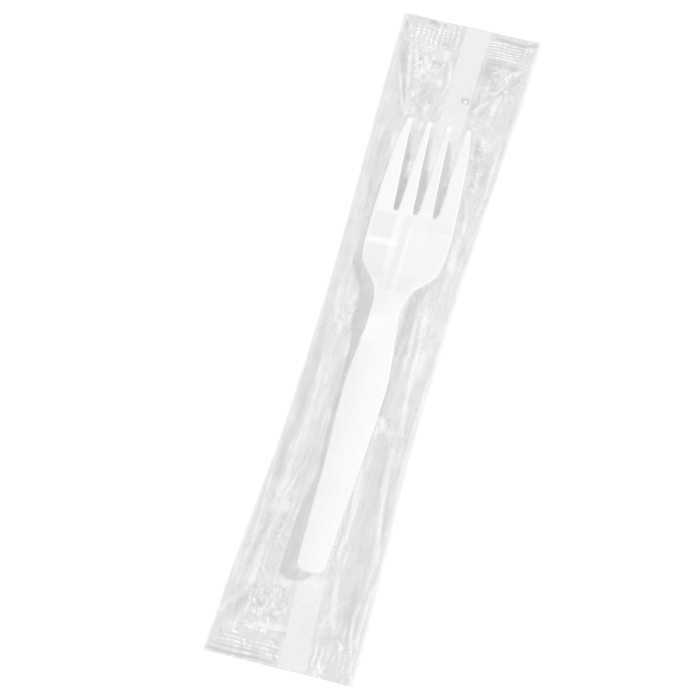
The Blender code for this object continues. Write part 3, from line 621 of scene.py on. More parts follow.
# Soft-edged parts of the film with painted shade below 0 and painted light above 0, such as the painted
# shadow beside the neck where the film stands over the fork's shadow, and painted light that thins the
# tines' cast shadow: (half width in mm, soft edge in mm, shade, places)
paintedLightShadeZones = (
    (1.75, 0.5, -1.15, (29.4, 91.8), (28.3, 95.5), (27.9, 101.0), (28.1, 107.0), (28.5, 114.0)),
    (1.10, 0.6, -0.85, (28.8, 116.2), (28.9, 124.0), (28.9, 130.0), (28.6, 135.0)),
    (2.20, 0.8, -0.25, (11.4, 90.6), (14.0, 96.0), (15.2, 102.0), (15.3, 110.0)),
    (2.40, 1.5, -0.40, (35.6, 44.0), (36.0, 55.0), (36.2, 66.0)),
    (1.60, 0.8, -0.45, (14.4, 120.0), (14.6, 128.0), (14.8, 136.0)),
    (2.60, 1.6, -0.35, (31.4, 143.0), (31.6, 155.0), (32.6, 166.0), (33.4, 176.0), (34.0, 186.0)),
    (2.20, 1.6, -0.30, (35.2, 190.0), (35.4, 200.0), (36.2, 205.0)),
    (2.20, 1.2, -0.30, (13.4, 142.0), (13.2, 152.0), (12.9, 162.0), (12.6, 172.0), (12.0, 182.0),
     (12.0, 190.0)),
    (2.20, 1.5, -0.35, (5.6, 122.0), (5.4, 134.0), (5.2, 148.0), (4.8, 160.0)),
    (1.70, 0.9, 0.55, (7.2, 43.0), (6.8, 50.0), (7.0, 60.0)),
    (0.80, 0.6, 0.45, (7.4, 62.0), (7.5, 72.0), (7.7, 84.0)),
    (2.30, 1.2, -0.35, (7.2, 198.0), (6.0, 201.5), (4.8, 205.0)),
    (2.60, 1.5, -0.55, (29.6, 11.6), (30.0, 14.0), (29.6, 17.0)),
    (1.20, 0.8, -0.40, (30.0, 10.6), (33.0, 10.6), (37.0, 10.8)),
    (1.30, 0.8, -0.50, (3.2, 10.0), (4.0, 15.0), (5.0, 20.0)),
    (1.80, 1.5, -0.30, (14.0, 24.0), (13.4, 28.0), (13.6, 33.0)),
    (1.40, 1.0, 0.22, (34.8, 38.6), (34.6, 42.0)),
    (1.60, 1.2, 0.20, (9.4, 122.0), (9.6, 130.0), (10.0, 140.0), (8.8, 150.0), (8.4, 165.0)),
    (1.10, 0.8, 0.20, (33.2, 112.0), (33.6, 124.0), (34.2, 132.0), (35.2, 140.0)),
    (2.60, 1.5, 0.12, (35.6, 94.0), (35.4, 104.0), (36.0, 116.0)),
    (1.60, 1.2, 0.14, (6.6, 96.0), (7.4, 104.0), (9.0, 109.0)),
    (1.30, 0.9, 0.16, (28.6, 138.0), (28.2, 150.0), (28.2, 165.0), (28.6, 178.0)),
    (1.60, 1.2, 0.14, (37.4, 60.0), (37.0, 70.0), (36.4, 80.0), (35.6, 90.0)),
    (0.90, 0.6, 0.35, (9.6, 207.6), (14.0, 207.3), (20.4, 206.7)),
    (0.90, 0.8, 0.35, (13.4, 189.4), (15.0, 191.2)),
)
# Patches of painted shade below 0 and painted highlight above 0 on the film over the fork, such as
# painted shadow in the slots' roots and highlights on the tine tips: (left, right, top, bottom, soft
# edge, shade), in marks
paintedForkPatches = (
    (12.8, 16.4, 38.0, 54.5, 4.0, 0.20), (19.0, 22.4, 38.0, 51.5, 4.0, 0.15),
    (25.2, 28.4, 38.0, 54.0, 4.0, 0.18), (9.8, 16.2, 69.6, 78.2, 0.6, -0.62),
    (10.0, 16.8, 80.6, 92.0, 0.8, -0.58), (18.6, 20.8, 69.6, 95.0, 0.5, -0.50),
    (16.8, 18.4, 88.0, 95.0, 0.8, -0.50), (16.6, 18.0, 68.0, 88.0, 0.6, 0.22),
    (10.0, 19.4, 78.6, 80.0, 0.6, 0.30), (21.1, 21.8, 73.0, 93.0, 0.4, 0.36),
    (20.8, 33.0, 68.4, 72.6, 1.2, -0.24), (21.8, 31.0, 72.0, 90.0, 1.2, -0.08),
    (22.0, 26.0, 89.0, 95.0, 1.2, -0.40), (14.0, 20.6, 96.0, 150.0, 0.6, -0.15),
    (21.0, 28.0, 96.0, 186.0, 0.8, 0.12), (20.2, 23.6, 176.0, 186.0, 0.8, -0.15),
    (21.5, 26.0, 38.0, 66.0, 0.5, -0.20), (14.3, 16.2, 57.0, 67.5, 0.6, -1.00),
    (20.2, 22.2, 53.0, 67.0, 0.6, -0.90), (26.4, 28.2, 57.0, 67.0, 0.6, -0.90),
    (13.6, 15.2, 48.4, 51.2, 0.8, -0.90), (12.8, 13.8, 39.6, 41.0, 0.6, -0.60),
    (10.7, 12.9, 35.5, 38.0, 0.6, 0.50), (17.0, 19.1, 35.8, 38.0, 0.6, 0.50),
    (22.7, 24.9, 35.8, 38.0, 0.6, 0.40), (28.8, 31.0, 35.8, 38.0, 0.6, 0.50),
)
# Loosely crumpled patches: (middle across and along, reach across and along, strength)
crumpled = (
    (11.5, 16.0, 8.0, 9.0, 1.0), (10.0, 30.0, 8.0, 8.0, 0.6), (34.0, 17.0, 7.0, 8.5, 1.0),
    (31.0, 30.0, 5.0, 7.0, 0.8), (13.5, 201.0, 7.5, 8.5, 1.0), (30.0, 200.0, 3.5, 8.0, 0.6),
    (11.0, 105.0, 3.5, 12.0, 0.7), (11.5, 176.0, 3.0, 12.0, 0.6), (34.0, 46.0, 4.0, 12.0, 0.8),
    (12.0, 126.0, 2.5, 9.0, 0.5), (29.5, 138.0, 2.5, 5.0, 0.8), (34.0, 106.0, 5.0, 16.0, 0.35),
    (4.0, 100.0, 3.5, 30.0, 0.3), (29.0, 182.0, 2.0, 10.0, 0.5), (6.0, 180.0, 6.0, 25.0, 0.35),
    (28.6, 104.0, 1.5, 14.0, 0.5), (36.0, 70.0, 4.0, 25.0, 0.3), (5.0, 60.0, 4.0, 40.0, 0.2),
)


def atMark(across, along):
    return (across - sleeve["middleMark"]) * mark, sleeveTop - along * mark


def alongCrease(x, y, places):
    # Distance from a crease, how far along it (0 to 1) the nearest place is, and on which side
    points = [np.array(atMark(*place)) for place in places]
    lengths = [float(np.hypot(*(b - a))) for a, b in zip(points, points[1:])]
    total = sum(lengths)
    nearest = np.full(x.shape, 1.0)
    where = np.zeros(x.shape)
    side = np.zeros(x.shape)
    before = 0.0
    for a, b, length in zip(points, points[1:], lengths):
        run = (b - a) / length
        t = np.clip((x - a[0]) * run[0] + (y - a[1]) * run[1], 0.0, length)
        offX, offY = x - a[0] - t * run[0], y - a[1] - t * run[1]
        away = np.hypot(offX, offY)
        closer = away < nearest
        nearest = np.where(closer, away, nearest)
        where = np.where(closer, (before + t) / total, where)
        side = np.where(closer, np.sign(offX), side)
        before += length
    return nearest, where, side


# How far a crease reaches for its half width, how strong its painted highlight and shade are,
# and its painted darker feet: lengths are shares of its reach
creaseShape = {"reach": 0.00115, "bright": 1.15, "dull": 1.05, "ridge": 1.6, "paintedLightShade": 1.15,
               "footAway": 1.55, "foot": 0.9, "farFoot": 0.75, "nearFoot": 0.40}


def creaseFields(x, y, table):
    # Height, painted highlight and painted shade that the creases of a table add at each place.
    # A bright crease has a painted darker foot on each side, more so on the side away from the light
    height, paintedLightShade = np.zeros(x.shape), np.zeros(x.shape)
    shape = creaseShape
    for width, tall, tone, *places in table:
        away, where, side = alongCrease(x, y, places)
        reach = width * shape["reach"]
        fade = np.sqrt(np.clip(4.0 * where * (1.0 - where) + 0.25, 0.0, 1.0))
        height += tall * 0.001 * fade * np.clip(1.0 - away / (shape["ridge"] * reach), 0.0, 1.0) ** 1.5
        strength = shape["bright" if tone > 0.0 else "dull"]
        paintedLightShade += strength * tone * fade * bump(away / (shape["paintedLightShade"] * reach))
        if tone > 0.0:
            foot = np.where(side < 0.0, shape["farFoot"], shape["nearFoot"])
            fromFoot = (away - shape["footAway"] * reach) / (shape["foot"] * reach)
            paintedLightShade -= tone * foot * fade * bump(fromFoot)
    return height, paintedLightShade


def paintedZoneLightShade(x, y):
    # Painted shade and light of the soft-edged zones
    total = np.zeros(x.shape)
    for width, soft, shade, *places in paintedLightShadeZones:
        away = alongCrease(x, y, places)[0]
        total += shade * ease((width * 0.001 - away) / (soft * 0.001) + 0.5)
    return total


def paintedForkLightShade(x, y):
    # Painted shade and highlights of the patches on the film over the fork
    total = np.zeros(x.shape)
    across = x / mark + sleeve["middleMark"]
    along = (sleeveTop - y) / mark
    for left, right, top, bottom, soft, shade in paintedForkPatches:
        inX = ease((across - left) / soft + 0.5) * ease((right - across) / soft + 0.5)
        inY = ease((along - top) / soft + 0.5) * ease((bottom - along) / soft + 0.5)
        total += shade * inX * inY
    return total


def crumpleStrength(x, y):
    # How crumpled the film is, from 0 to 1
    total = np.full(x.shape, sleeve["leastCrumple"])
    for across, along, reachX, reachY, strength in crumpled:
        cx, cy = atMark(across, along)
        away = np.hypot((x - cx) / (reachX * mark), (y - cy) / (reachY * mark))
        total = np.maximum(total, strength * ease(1.35 - away))
    # Over the stiff seam strip the film beyond the fork stays smooth
    s, across = forkPlace(x, y)
    beyond = ease(np.maximum(-s, s - fork["length"]) / 0.004)
    strip = ease(1.6 - np.abs(x - seamCentre(y)) / (sleeve["seamWidth"] / 2.0 + 0.0006))
    return total * (1.0 - 0.9 * strip * beyond)


def crumpleHeight(x, y, seed, cell):
    # Facets with sharp ridges between them, like pressed film, from -0.5 to 0.5
    out = np.zeros(x.shape)
    flat = out.ravel()
    for i, (px, py) in enumerate(zip(x.ravel(), y.ravel())):
        p = Vector((px / cell, py / (cell * 1.5), seed))
        warp = noise.noise_vector(p * 0.7)
        d = noise.voronoi(p + warp * 0.55, distance_metric="DISTANCE")[0]
        fine = noise.noise(p * 2.3)
        flat[i] = (d[1] - d[0]) * 0.8 - 0.4 + 0.35 * (abs(fine) * 2.0 - 0.5)
    return out


def softStreaks(x, y, seed):
    # Long soft waves that follow the sleeve's length
    out = np.zeros(x.shape)
    flat = out.ravel()
    share = (x / sleeveHalf(y)).ravel()
    for i, (u, py) in enumerate(zip(share, y.ravel())):
        p = Vector((u * 7.0, py * 26.0, seed))
        flat[i] = noise.noise(p) + 0.5 * noise.noise(Vector((u * 16.0, py * 45.0, seed + 3.0)))
    return out


def offFork(seenX, seenY, x, y):
    # 0 for the marks of the film that lie over the fork, 1 for those beside it
    top = overFork(np.clip(forkPlace(x, y)[0], 0.0, fork["length"])) - sleeve["standoff"]
    s, across = forkPlace(seenX + sleeve["seenRight"] * top, seenY - sleeve["seenUp"] * top)
    aside = np.abs(across) - outerHalf(s)
    beyond = np.maximum(-s, s - fork["length"])
    return ease(np.maximum(aside, beyond) / 0.0006 + 0.5)


def roundSide(x, half):
    # From 0 at the side folds to 1 a little way in, along a quarter circle
    inset = np.clip((half - np.abs(x)) / sleeve["edgeReach"], 0.0, 1.0)
    return np.sqrt(1.0 - (1.0 - inset) ** 2)


def frontFilm(x, y):
    # Height of the front film with its creases, and the values that its finish reads
    half = sleeveHalf(y)
    tent, share = tentOver(x, y)
    slack = ease((half - np.abs(x)) / sleeve["edgeSlack"])
    raised = sleeve["flatPuff"] + slack * tent
    seenX, seenY = x - sleeve["seenRight"] * raised, y + sleeve["seenUp"] * raised
    creased, paintedLightShade = creaseFields(seenX, seenY, creases)
    crumple = crumpleStrength(seenX, seenY)
    crumples = crumpleHeight(x, y, 2.0, sleeve["crumpleCell"]) + 0.3
    loose = creased + crumple * sleeve["crumpleTall"] * crumples
    loose = loose + sleeve["streakTall"] * softStreaks(x, y, 5.0)
    flat = sleeve["edgePuff"] + (sleeve["flatPuff"] - sleeve["edgePuff"]) * slack
    heldFlat = sleeve["heldFlat"]
    height = flat + slack * (tent + loose * (heldFlat + (1.0 - heldFlat) * share))
    s, across = forkPlace(x, y)
    held = np.clip(s, 0.0, fork["length"])
    inside = (np.abs(s - held) < 0.001) & (np.abs(across) < outerHalf(s) + sleeve["forkMargin"])
    least = sleeve["leastHeight"]
    clear = np.where(inside, forkLow.z + topHeight(held, across) + sleeve["forkGap"], least)
    height = np.maximum(height, clear)
    height = least + (height - least) * ease((hollowEnd - np.abs(y)) / sleeve["endTaper"] + 0.1)
    middle = sleeve["edgePuff"] / 2.0
    height = middle + (height - middle) * roundSide(x, half)
    off = offFork(seenX, seenY, x, y)
    paintedLightShade = paintedLightShade * (0.35 + 0.65 * off) + paintedZoneLightShade(seenX, seenY) * off
    paintedLightShade = paintedLightShade + paintedForkLightShade(seenX, seenY) * (1.0 - off)
    return height, {"paintedLightShade": paintedLightShade, "crumple": crumple * (0.25 + 0.75 * off), "loose": off}


def backFilm(x, y):
    # Height of the back film's underside, puckered beside the seam near the ends
    side = roundSide(x, sleeveHalf(y))
    puckers = np.maximum(0.0, crumpleHeight(x, y, 9.0, sleeve["puckerCell"]) + 0.1)
    away = np.abs(x - seamCentre(y)) - sleeve["seamWidth"] / 2.0 - sleeve["seamRamp"]
    pucker = crumpleStrength(x, y) * sleeve["puckerTall"] * puckers * ease(away / 0.001)
    return sleeve["edgePuff"] / 2.0 * (1.0 - side) + np.minimum(pucker, sleeve["mostPucker"]) * side


def sideFade(x, y):
    # The film thins out to nothing much at its sides
    reach = np.where(x > 0.0, filmLook["rightReach"], filmLook["sideReach"])
    inset = (sleeveHalf(y) - np.abs(x)) / reach
    return filmLook["sideVeil"] + (1.0 - filmLook["sideVeil"]) * ease(inset)


class Film:
    # Collects the sleeve's points, their values and its faces
    keys = ("paintedLightShade", "crumple", "loose", "veil", "seamAway", "sealed", "onFront", "ribs", "ribPhase",
            "cross", "crossPhase", "u", "v")

    def __init__(self):
        self.points = []
        self.faces = []
        self.values = {key: [] for key in self.keys}

    def row(self, xs, y, zs, **values):
        first = len(self.points)
        ys = np.broadcast_to(y, len(xs))
        halves = sleeveHalf(ys)
        for i, (x, z) in enumerate(zip(xs, zs)):
            self.points.append((float(x), float(ys[i]), float(z)))
            for key in self.keys:
                value = values.get(key, 0.0)
                self.values[key].append(float(value[i] if np.ndim(value) else value))
            self.values["u"][-1] = float(x / halves[i]) * sleeve["endWidth"] / 2.0
            self.values["v"][-1] = float(ys[i])
        return list(range(first, len(self.points)))

    def band(self, near, far, flip, skip=()):
        for i in range(len(near) - 1):
            if i in skip:
                continue
            cell = (near[i], near[i + 1], far[i + 1], far[i])
            self.faces.append(tuple(reversed(cell)) if flip else cell)

    def zip(self, near, far, flip):
        pieces = zipRows([(i, self.points[i][0]) for i in near], [(i, self.points[i][0]) for i in far])
        self.faces.extend(tuple(reversed(piece)) if flip else piece for piece in pieces)


def spread(low, high, count):
    return [low + (high - low) * i / count for i in range(count + 1)]


def frontColumns(half):
    close = [half - inset for inset in (0.00012, 0.0004, 0.0009)]
    inner = spread(-close[-1], close[-1], sleeve["frontColumns"] - 6)[1:-1]
    return [-x for x in close] + inner + close[::-1]


def backRow(y, inside):
    # Back film from left to right as xs and zs, round the seam's flap, which is pressed flat
    half = float(sleeveHalf(y))
    free = float(seamCentre(y)) - sleeve["seamWidth"] / 2.0
    root = float(seamCentre(y)) + sleeve["seamWidth"] / 2.0
    close = [half - inset for inset in (0.0002, 0.0007)]
    sideCount = sleeve["backColumns"] // 2 - 3
    left = [-x for x in close] + spread(-close[-1], free - sleeve["seamRamp"], sideCount)[1:]
    right = spread(root + sleeve["seamRamp"], close[-1], sideCount)[:-1] + close[::-1]
    leftZ = list(backFilm(np.array(left), np.full(len(left), y)))
    rightZ = list(backFilm(np.array(right), np.full(len(right), y)))
    if inside:
        leftZ = [z + filmWall for z in leftZ]
        rightZ = [z + filmWall for z in rightZ]
        middle = [free - sleeve["seamStep"], (free + root) / 2.0, root]
        middleZ = [sleeve["seamThickness"] + filmWall] * 3
    else:
        middle = [free - sleeve["seamStep"], free, root]
        middleZ = [sleeve["seamThickness"], 0.0, 0.0]
    return left + middle + right, leftZ + middleZ + rightZ


def backValues(xs, y):
    x, level = np.array(xs), np.full(len(xs), y)
    return {"seamAway": x - seamCentre(y), "veil": filmLook["backVeil"] * sideFade(x, level),
            "loose": 1.0, "crumple": 0.25 * crumpleStrength(x, level)}


def sealValues(xs, y, end):
    # Ribs run along the sleeve, and fine lines cross it, in patches beside the plain seam
    x = np.array(xs)
    away = np.abs(x - seamCentre(y)) - sleeve["seamWidth"] / 2.0
    plain = ease(away / 0.0009)
    depth = (sleeveTop - abs(y) - sleeve["endMargin"]) / sleeve["sealDepth"]
    inSeal = ease(depth / 0.12) * ease((1.0 - depth) / 0.12)
    room = plain * inSeal * ease((sleeveHalf(y) - np.abs(x) - 0.0022) / 0.0020)
    wander = np.array([noise.noise(Vector((px / 0.004, y / 0.002, 4.0 + end))) for px in x])
    across = x / mark + sleeve["middleMark"] + wander * 0.22
    along = (sleeveTop - y) / mark + wander * 0.30
    rightSide = ease((x - seamCentre(y)) / 0.001 + 0.5)
    leftSide = 1.0 - rightSide
    if end > 0:
        farRight = ease((across - 37.2) / 1.2)
        ribbed = leftSide * ease(across - 3.5) + rightSide * (0.35 + 0.65 * farRight)
        crossed = rightSide * (1.0 - 0.7 * farRight) + 0.45 * leftSide
        ribPhase = (across - 5.0) / 1.55
        crossPhase = (along - 5.0) / 1.05
    else:
        ribbed = rightSide + 0.15 * leftSide
        crossed = leftSide * (0.2 + 0.4 * ease((along - 212.0) / 1.5)) + 0.12 * rightSide
        ribPhase = (across - 29.4) / 1.60
        crossPhase = (along - 213.6) / 1.35
    level = np.full(x.shape, y)
    paintedLightShade = creaseFields(x, level, sealCreases)[1]
    paintedLightShade = paintedLightShade + creaseFields(x, level, creases)[1] * ease(1.2 - depth)
    return {"ribs": ribbed * room, "cross": crossed * room, "ribPhase": ribPhase,
            "crossPhase": crossPhase, "paintedLightShade": paintedLightShade, "seamAway": x - seamCentre(y), "sealed": 1.0,
            "loose": 1.0, "veil": filmLook["sealVeil"] * sideFade(x, level), "crumple": 0.12 * plain}


def ventLoop(row, column):
    # Grid places round the block of nine cells that the vent takes out, from its lower left
    low, high = 0, 3
    places = [(low, c) for c in range(4)] + [(r, high) for r in range(1, 4)]
    places += [(high, c) for c in (2, 1, 0)] + [(r, low) for r in (2, 1)]
    return [(row + r, column + c) for r, c in places]


def pullVent(xGrid, yGrid):
    # Pulls the rim of a block of nine cells into the vent's circle
    ventX, ventY = sleeve["ventOffset"], sleeveTop - sleeve["ventFromTines"]
    row = int(np.argmin(np.abs(yGrid[:, 0] - ventY))) - 1
    column = int(np.argmin(np.abs(xGrid[row] - ventX))) - 1
    loop = ventLoop(row, column)
    for i, place in enumerate(loop):
        turn = math.radians(225.0 + 30.0 * i)
        xGrid[place] = ventX + sleeve["vent"] / 2.0 * math.cos(turn)
        yGrid[place] = ventY + sleeve["vent"] / 2.0 * math.sin(turn)
    return row, column, loop


def addRing(film, y, atEnd, front, outerVeil, innerVeil):
    # One ring round the hollow: its outer top, outer bottom, inner top and inner bottom rows.
    # front is the front film's x, y, height and values. The end rings meet the seals
    half = float(sleeveHalf(y))
    inner = half - 2.0 * filmWall
    middle = sleeve["edgePuff"] / 2.0
    across, along, heights, values = front
    sides = {"veil": filmLook["frontVeil"] * filmLook["sideVeil"], "onFront": 1.0, "loose": 1.0}
    left = film.row([-half], y, [middle], **sides)
    right = film.row([half], y, [middle], **sides)
    face = {"seamAway": across - seamCentre(y), "sealed": 1.0} if atEnd else {"onFront": 1.0}
    top = film.row(across, along, heights, veil=outerVeil, **face, **values)
    xs, zs = backRow(y, False)
    under = backValues(xs, y)
    if atEnd:
        under["sealed"] = 1.0
        under["veil"] = filmLook["sealVeil"] * sideFade(np.array(xs), np.full(len(xs), y))
    bottom = film.row(xs, y, zs, **under)
    leftIn = film.row([-inner], y, [middle], **sides)
    rightIn = film.row([inner], y, [middle], **sides)
    scale = min(1.0, (inner - 0.00002) / float(across[-1]))
    topIn = film.row(across * scale, along, heights - filmWall, onFront=1.0, veil=innerVeil, **values)
    xs, zs = backRow(y, True)
    under = backValues(xs, y)
    if atEnd:
        under["veil"], under["seamAway"] = 0.0, 1.0
    bottomIn = film.row(xs, y, zs, **under)
    return (left + top + right, left + bottom + right,
            leftIn + topIn + rightIn, leftIn + bottomIn + rightIn)


def addSeal(film, ring, side):
    # Closes the hollow's end and adds the flat seal beyond it, at the tine end for side 1
    towardsTines = side > 0.0
    film.zip(ring[3], ring[2], not towardsTines)
    start = hollowEnd + sleeve["sealStep"]
    levels = [start, start + 0.0001] + spread(start + 0.0002, sleeveTop, sleeve["sealRows"])[1:]
    rows = []
    for level in levels:
        y = side * level
        half = float(sleeveHalf(y))
        xs = spread(-half, half, sleeve["sealColumns"])
        wave = sleeve["sealWave"] * (np.sin(np.array(xs) * 260.0 + side) + 1.0)
        z = np.full(len(xs), filmWall) + wave * ease((level - hollowEnd) / 0.006)
        finish = sealValues(xs, y, side)
        ends = film.row([xs[0], xs[-1]], y, [z[0], z[-1]], sealed=1.0, seamAway=1.0, loose=1.0,
                        veil=finish["veil"][[0, -1]])
        inner = {key: value[1:-1] if np.ndim(value) else value for key, value in finish.items()}
        top = film.row(xs[1:-1], y, z[1:-1] + filmWall, **inner)
        low = film.row(xs[1:-1], y, z[1:-1] - filmWall, **inner)
        rows.append(([ends[0]] + top + [ends[1]], [ends[0]] + low + [ends[1]]))
    film.zip(ring[0], rows[0][0], not towardsTines)
    film.zip(ring[1], rows[0][1], towardsTines)
    for near, far in zip(rows, rows[1:]):
        film.band(near[0], far[0], not towardsTines)
        film.band(near[1], far[1], towardsTines)
    film.zip(rows[-1][1], rows[-1][0], towardsTines)


def makeSleeve(material):
    film = Film()
    ys = spread(-hollowEnd, hollowEnd, sleeve["rows"])
    ys = [ys[0], ys[0] + sleeve["endRow"]] + ys[1:-1] + [ys[-1] - sleeve["endRow"], ys[-1]]
    xGrid = np.array([frontColumns(float(sleeveHalf(y))) for y in ys])
    yGrid = np.repeat(np.array(ys)[:, None], xGrid.shape[1], axis=1)
    ventRow, ventColumn, loop = pullVent(xGrid, yGrid)
    heights, values = frontFilm(xGrid, yGrid)
    print("Film heights worked out")
    # A painted darker ring of shade round the vent's rim
    for place in loop:
        values["paintedLightShade"][place] -= filmLook["ventRimShade"]
    innerVeil = filmLook["frontVeil"] * sideFade(xGrid, yGrid)
    outerVeil = innerVeil.copy()
    innerVeil[[0, -1]] = 0.0
    outerVeil[[0, -1]] = filmLook["sealVeil"] * sideFade(xGrid[[0, -1]], yGrid[[0, -1]])
    rings = []
    for r, y in enumerate(ys):
        front = xGrid[r], yGrid[r], heights[r], {key: value[r] for key, value in values.items()}
        rings.append(addRing(film, y, r in (0, len(ys) - 1), front, outerVeil[r], innerVeil[r]))
    for r, (near, far) in enumerate(zip(rings, rings[1:])):
        skip = range(ventColumn + 1, ventColumn + 4) if ventRow <= r < ventRow + 3 else ()
        film.band(near[0], far[0], False, skip)
        film.band(near[1], far[1], True)
        film.band(near[2], far[2], True, skip)
        film.band(near[3], far[3], False)
    outer = [rings[r][0][c + 1] for r, c in loop]
    inside = [rings[r][2][c + 1] for r, c in loop]
    for i in range(len(loop)):
        j = (i + 1) % len(loop)
        film.faces.append((outer[i], outer[j], inside[j], inside[i]))
    addSeal(film, rings[0], -1.0)
    addSeal(film, rings[-1], 1.0)
    print("Film faces:", len(film.faces))

    # Only the points in the middle of the vent are in no face
    used = sorted({i for face in film.faces for i in face})
    renumber = {old: new for new, old in enumerate(used)}
    faces = [tuple(renumber[i] for i in face) for face in film.faces]
    places = np.array(film.points)[used]
    places[:, 0] += sleeve["rightBow"] * ease(places[:, 0] / sleeve["waistWidth"] * 2.0)
    values = {key: np.array(film.values[key])[used] for key in film.keys}
    return makeMesh("filmSleeve", places.tolist(), faces, material, values)


# Ribs and cross lines of the two seals, by Geometry Nodes: waves over each point's own phase

ribs = {"Rib Height": 0.00030, "Line Height": 0.00018}


def ribTree():
    tree = bpy.data.node_groups.new("sealRibs", "GeometryNodeTree")
    tree.interface.new_socket("Geometry", in_out="INPUT", socket_type="NodeSocketGeometry")
    for name in ribs:
        tree.interface.new_socket(name, in_out="INPUT", socket_type="NodeSocketFloat")
    tree.interface.new_socket("Finish", in_out="INPUT", socket_type="NodeSocketMaterial")
    tree.interface.new_socket("Geometry", in_out="OUTPUT", socket_type="NodeSocketGeometry")
    inputs = tree.nodes.new("NodeGroupInput")
    outputs = tree.nodes.new("NodeGroupOutput")

    def maths(operation, *values):
        node = tree.nodes.new("ShaderNodeMath")
        node.operation = operation
        for socket, value in zip(node.inputs, values):
            if isinstance(value, (int, float)):
                socket.default_value = value
            else:
                tree.links.new(value, socket)
        return node.outputs[0]

    def named(name):
        node = tree.nodes.new("GeometryNodeInputNamedAttribute")
        node.data_type = "FLOAT"
        node.inputs["Name"].default_value = name
        return node.outputs["Attribute"]

    def wave(phase, tall, share):
        turn = maths("MULTIPLY", named(phase), 2.0 * math.pi)
        rise = maths("SUBTRACT", 0.5, maths("MULTIPLY", maths("COSINE", turn), 0.5))
        return maths("MULTIPLY", maths("MULTIPLY", rise, tall), named(share))

    rise = maths("ADD", wave("ribPhase", inputs.outputs["Rib Height"], "ribs"),
                 wave("crossPhase", inputs.outputs["Line Height"], "cross"))
    offset = tree.nodes.new("ShaderNodeCombineXYZ")
    tree.links.new(rise, offset.inputs[2])
    move = tree.nodes.new("GeometryNodeSetPosition")
    tree.links.new(inputs.outputs["Geometry"], move.inputs["Geometry"])
    tree.links.new(offset.outputs[0], move.inputs["Offset"])
    realize = tree.nodes.new("GeometryNodeRealizeInstances")
    tree.links.new(move.outputs[0], realize.inputs[0])
    finish = tree.nodes.new("GeometryNodeSetMaterial")
    tree.links.new(realize.outputs[0], finish.inputs["Geometry"])
    tree.links.new(inputs.outputs["Finish"], finish.inputs["Material"])
    tree.links.new(finish.outputs[0], outputs.inputs["Geometry"])
    return tree


def pressRibs(piece, material):
    tree = ribTree()
    press = piece.modifiers.new("sealRibs", "NODES")
    press.node_group = tree
    for item in tree.interface.items_tree:
        if item.item_type == "SOCKET" and item.in_out == "INPUT":
            if item.name in ribs:
                press[item.identifier] = ribs[item.name]
            elif item.name == "Finish":
                press[item.identifier] = material
    ready = piece.evaluated_get(bpy.context.evaluated_depsgraph_get())
    pressed = bpy.data.meshes.new_from_object(ready)
    piece.modifiers.clear()
    piece.data = pressed
    piece.data.shade_smooth()


# Finishes

plasticLook = {"colour": (0.955, 0.955, 0.95, 1.0), "roughness": 0.32, "speckle": 0.012,
               "cloud": 90.0, "grain": 1600.0}


def whitePlastic():
    recipe = Recipe("whitePlastic")
    place = recipe.node("TexCoord", output="Object")
    cloud = recipe.node("TexNoise", None, Vector=place, Scale=plasticLook["cloud"], Detail=3.0)
    tint = recipe.node("Mix", {"data_type": "RGBA"}, cloud, output=2)
    dark = [channel * (1.0 - plasticLook["speckle"]) for channel in plasticLook["colour"][:3]] + [1.0]
    tint.socket.node.inputs[6].default_value = dark
    tint.socket.node.inputs[7].default_value = plasticLook["colour"]
    recipe.set("Base Color", tint)
    recipe.set("Roughness", cloud * 0.08 + (plasticLook["roughness"] - 0.04))
    grain = recipe.node("TexNoise", None, Vector=place, Scale=plasticLook["grain"], Detail=2.0)
    recipe.set("Normal", recipe.node("Bump", None, Strength=0.04, Distance=0.0001, Height=grain))
    return recipe.material


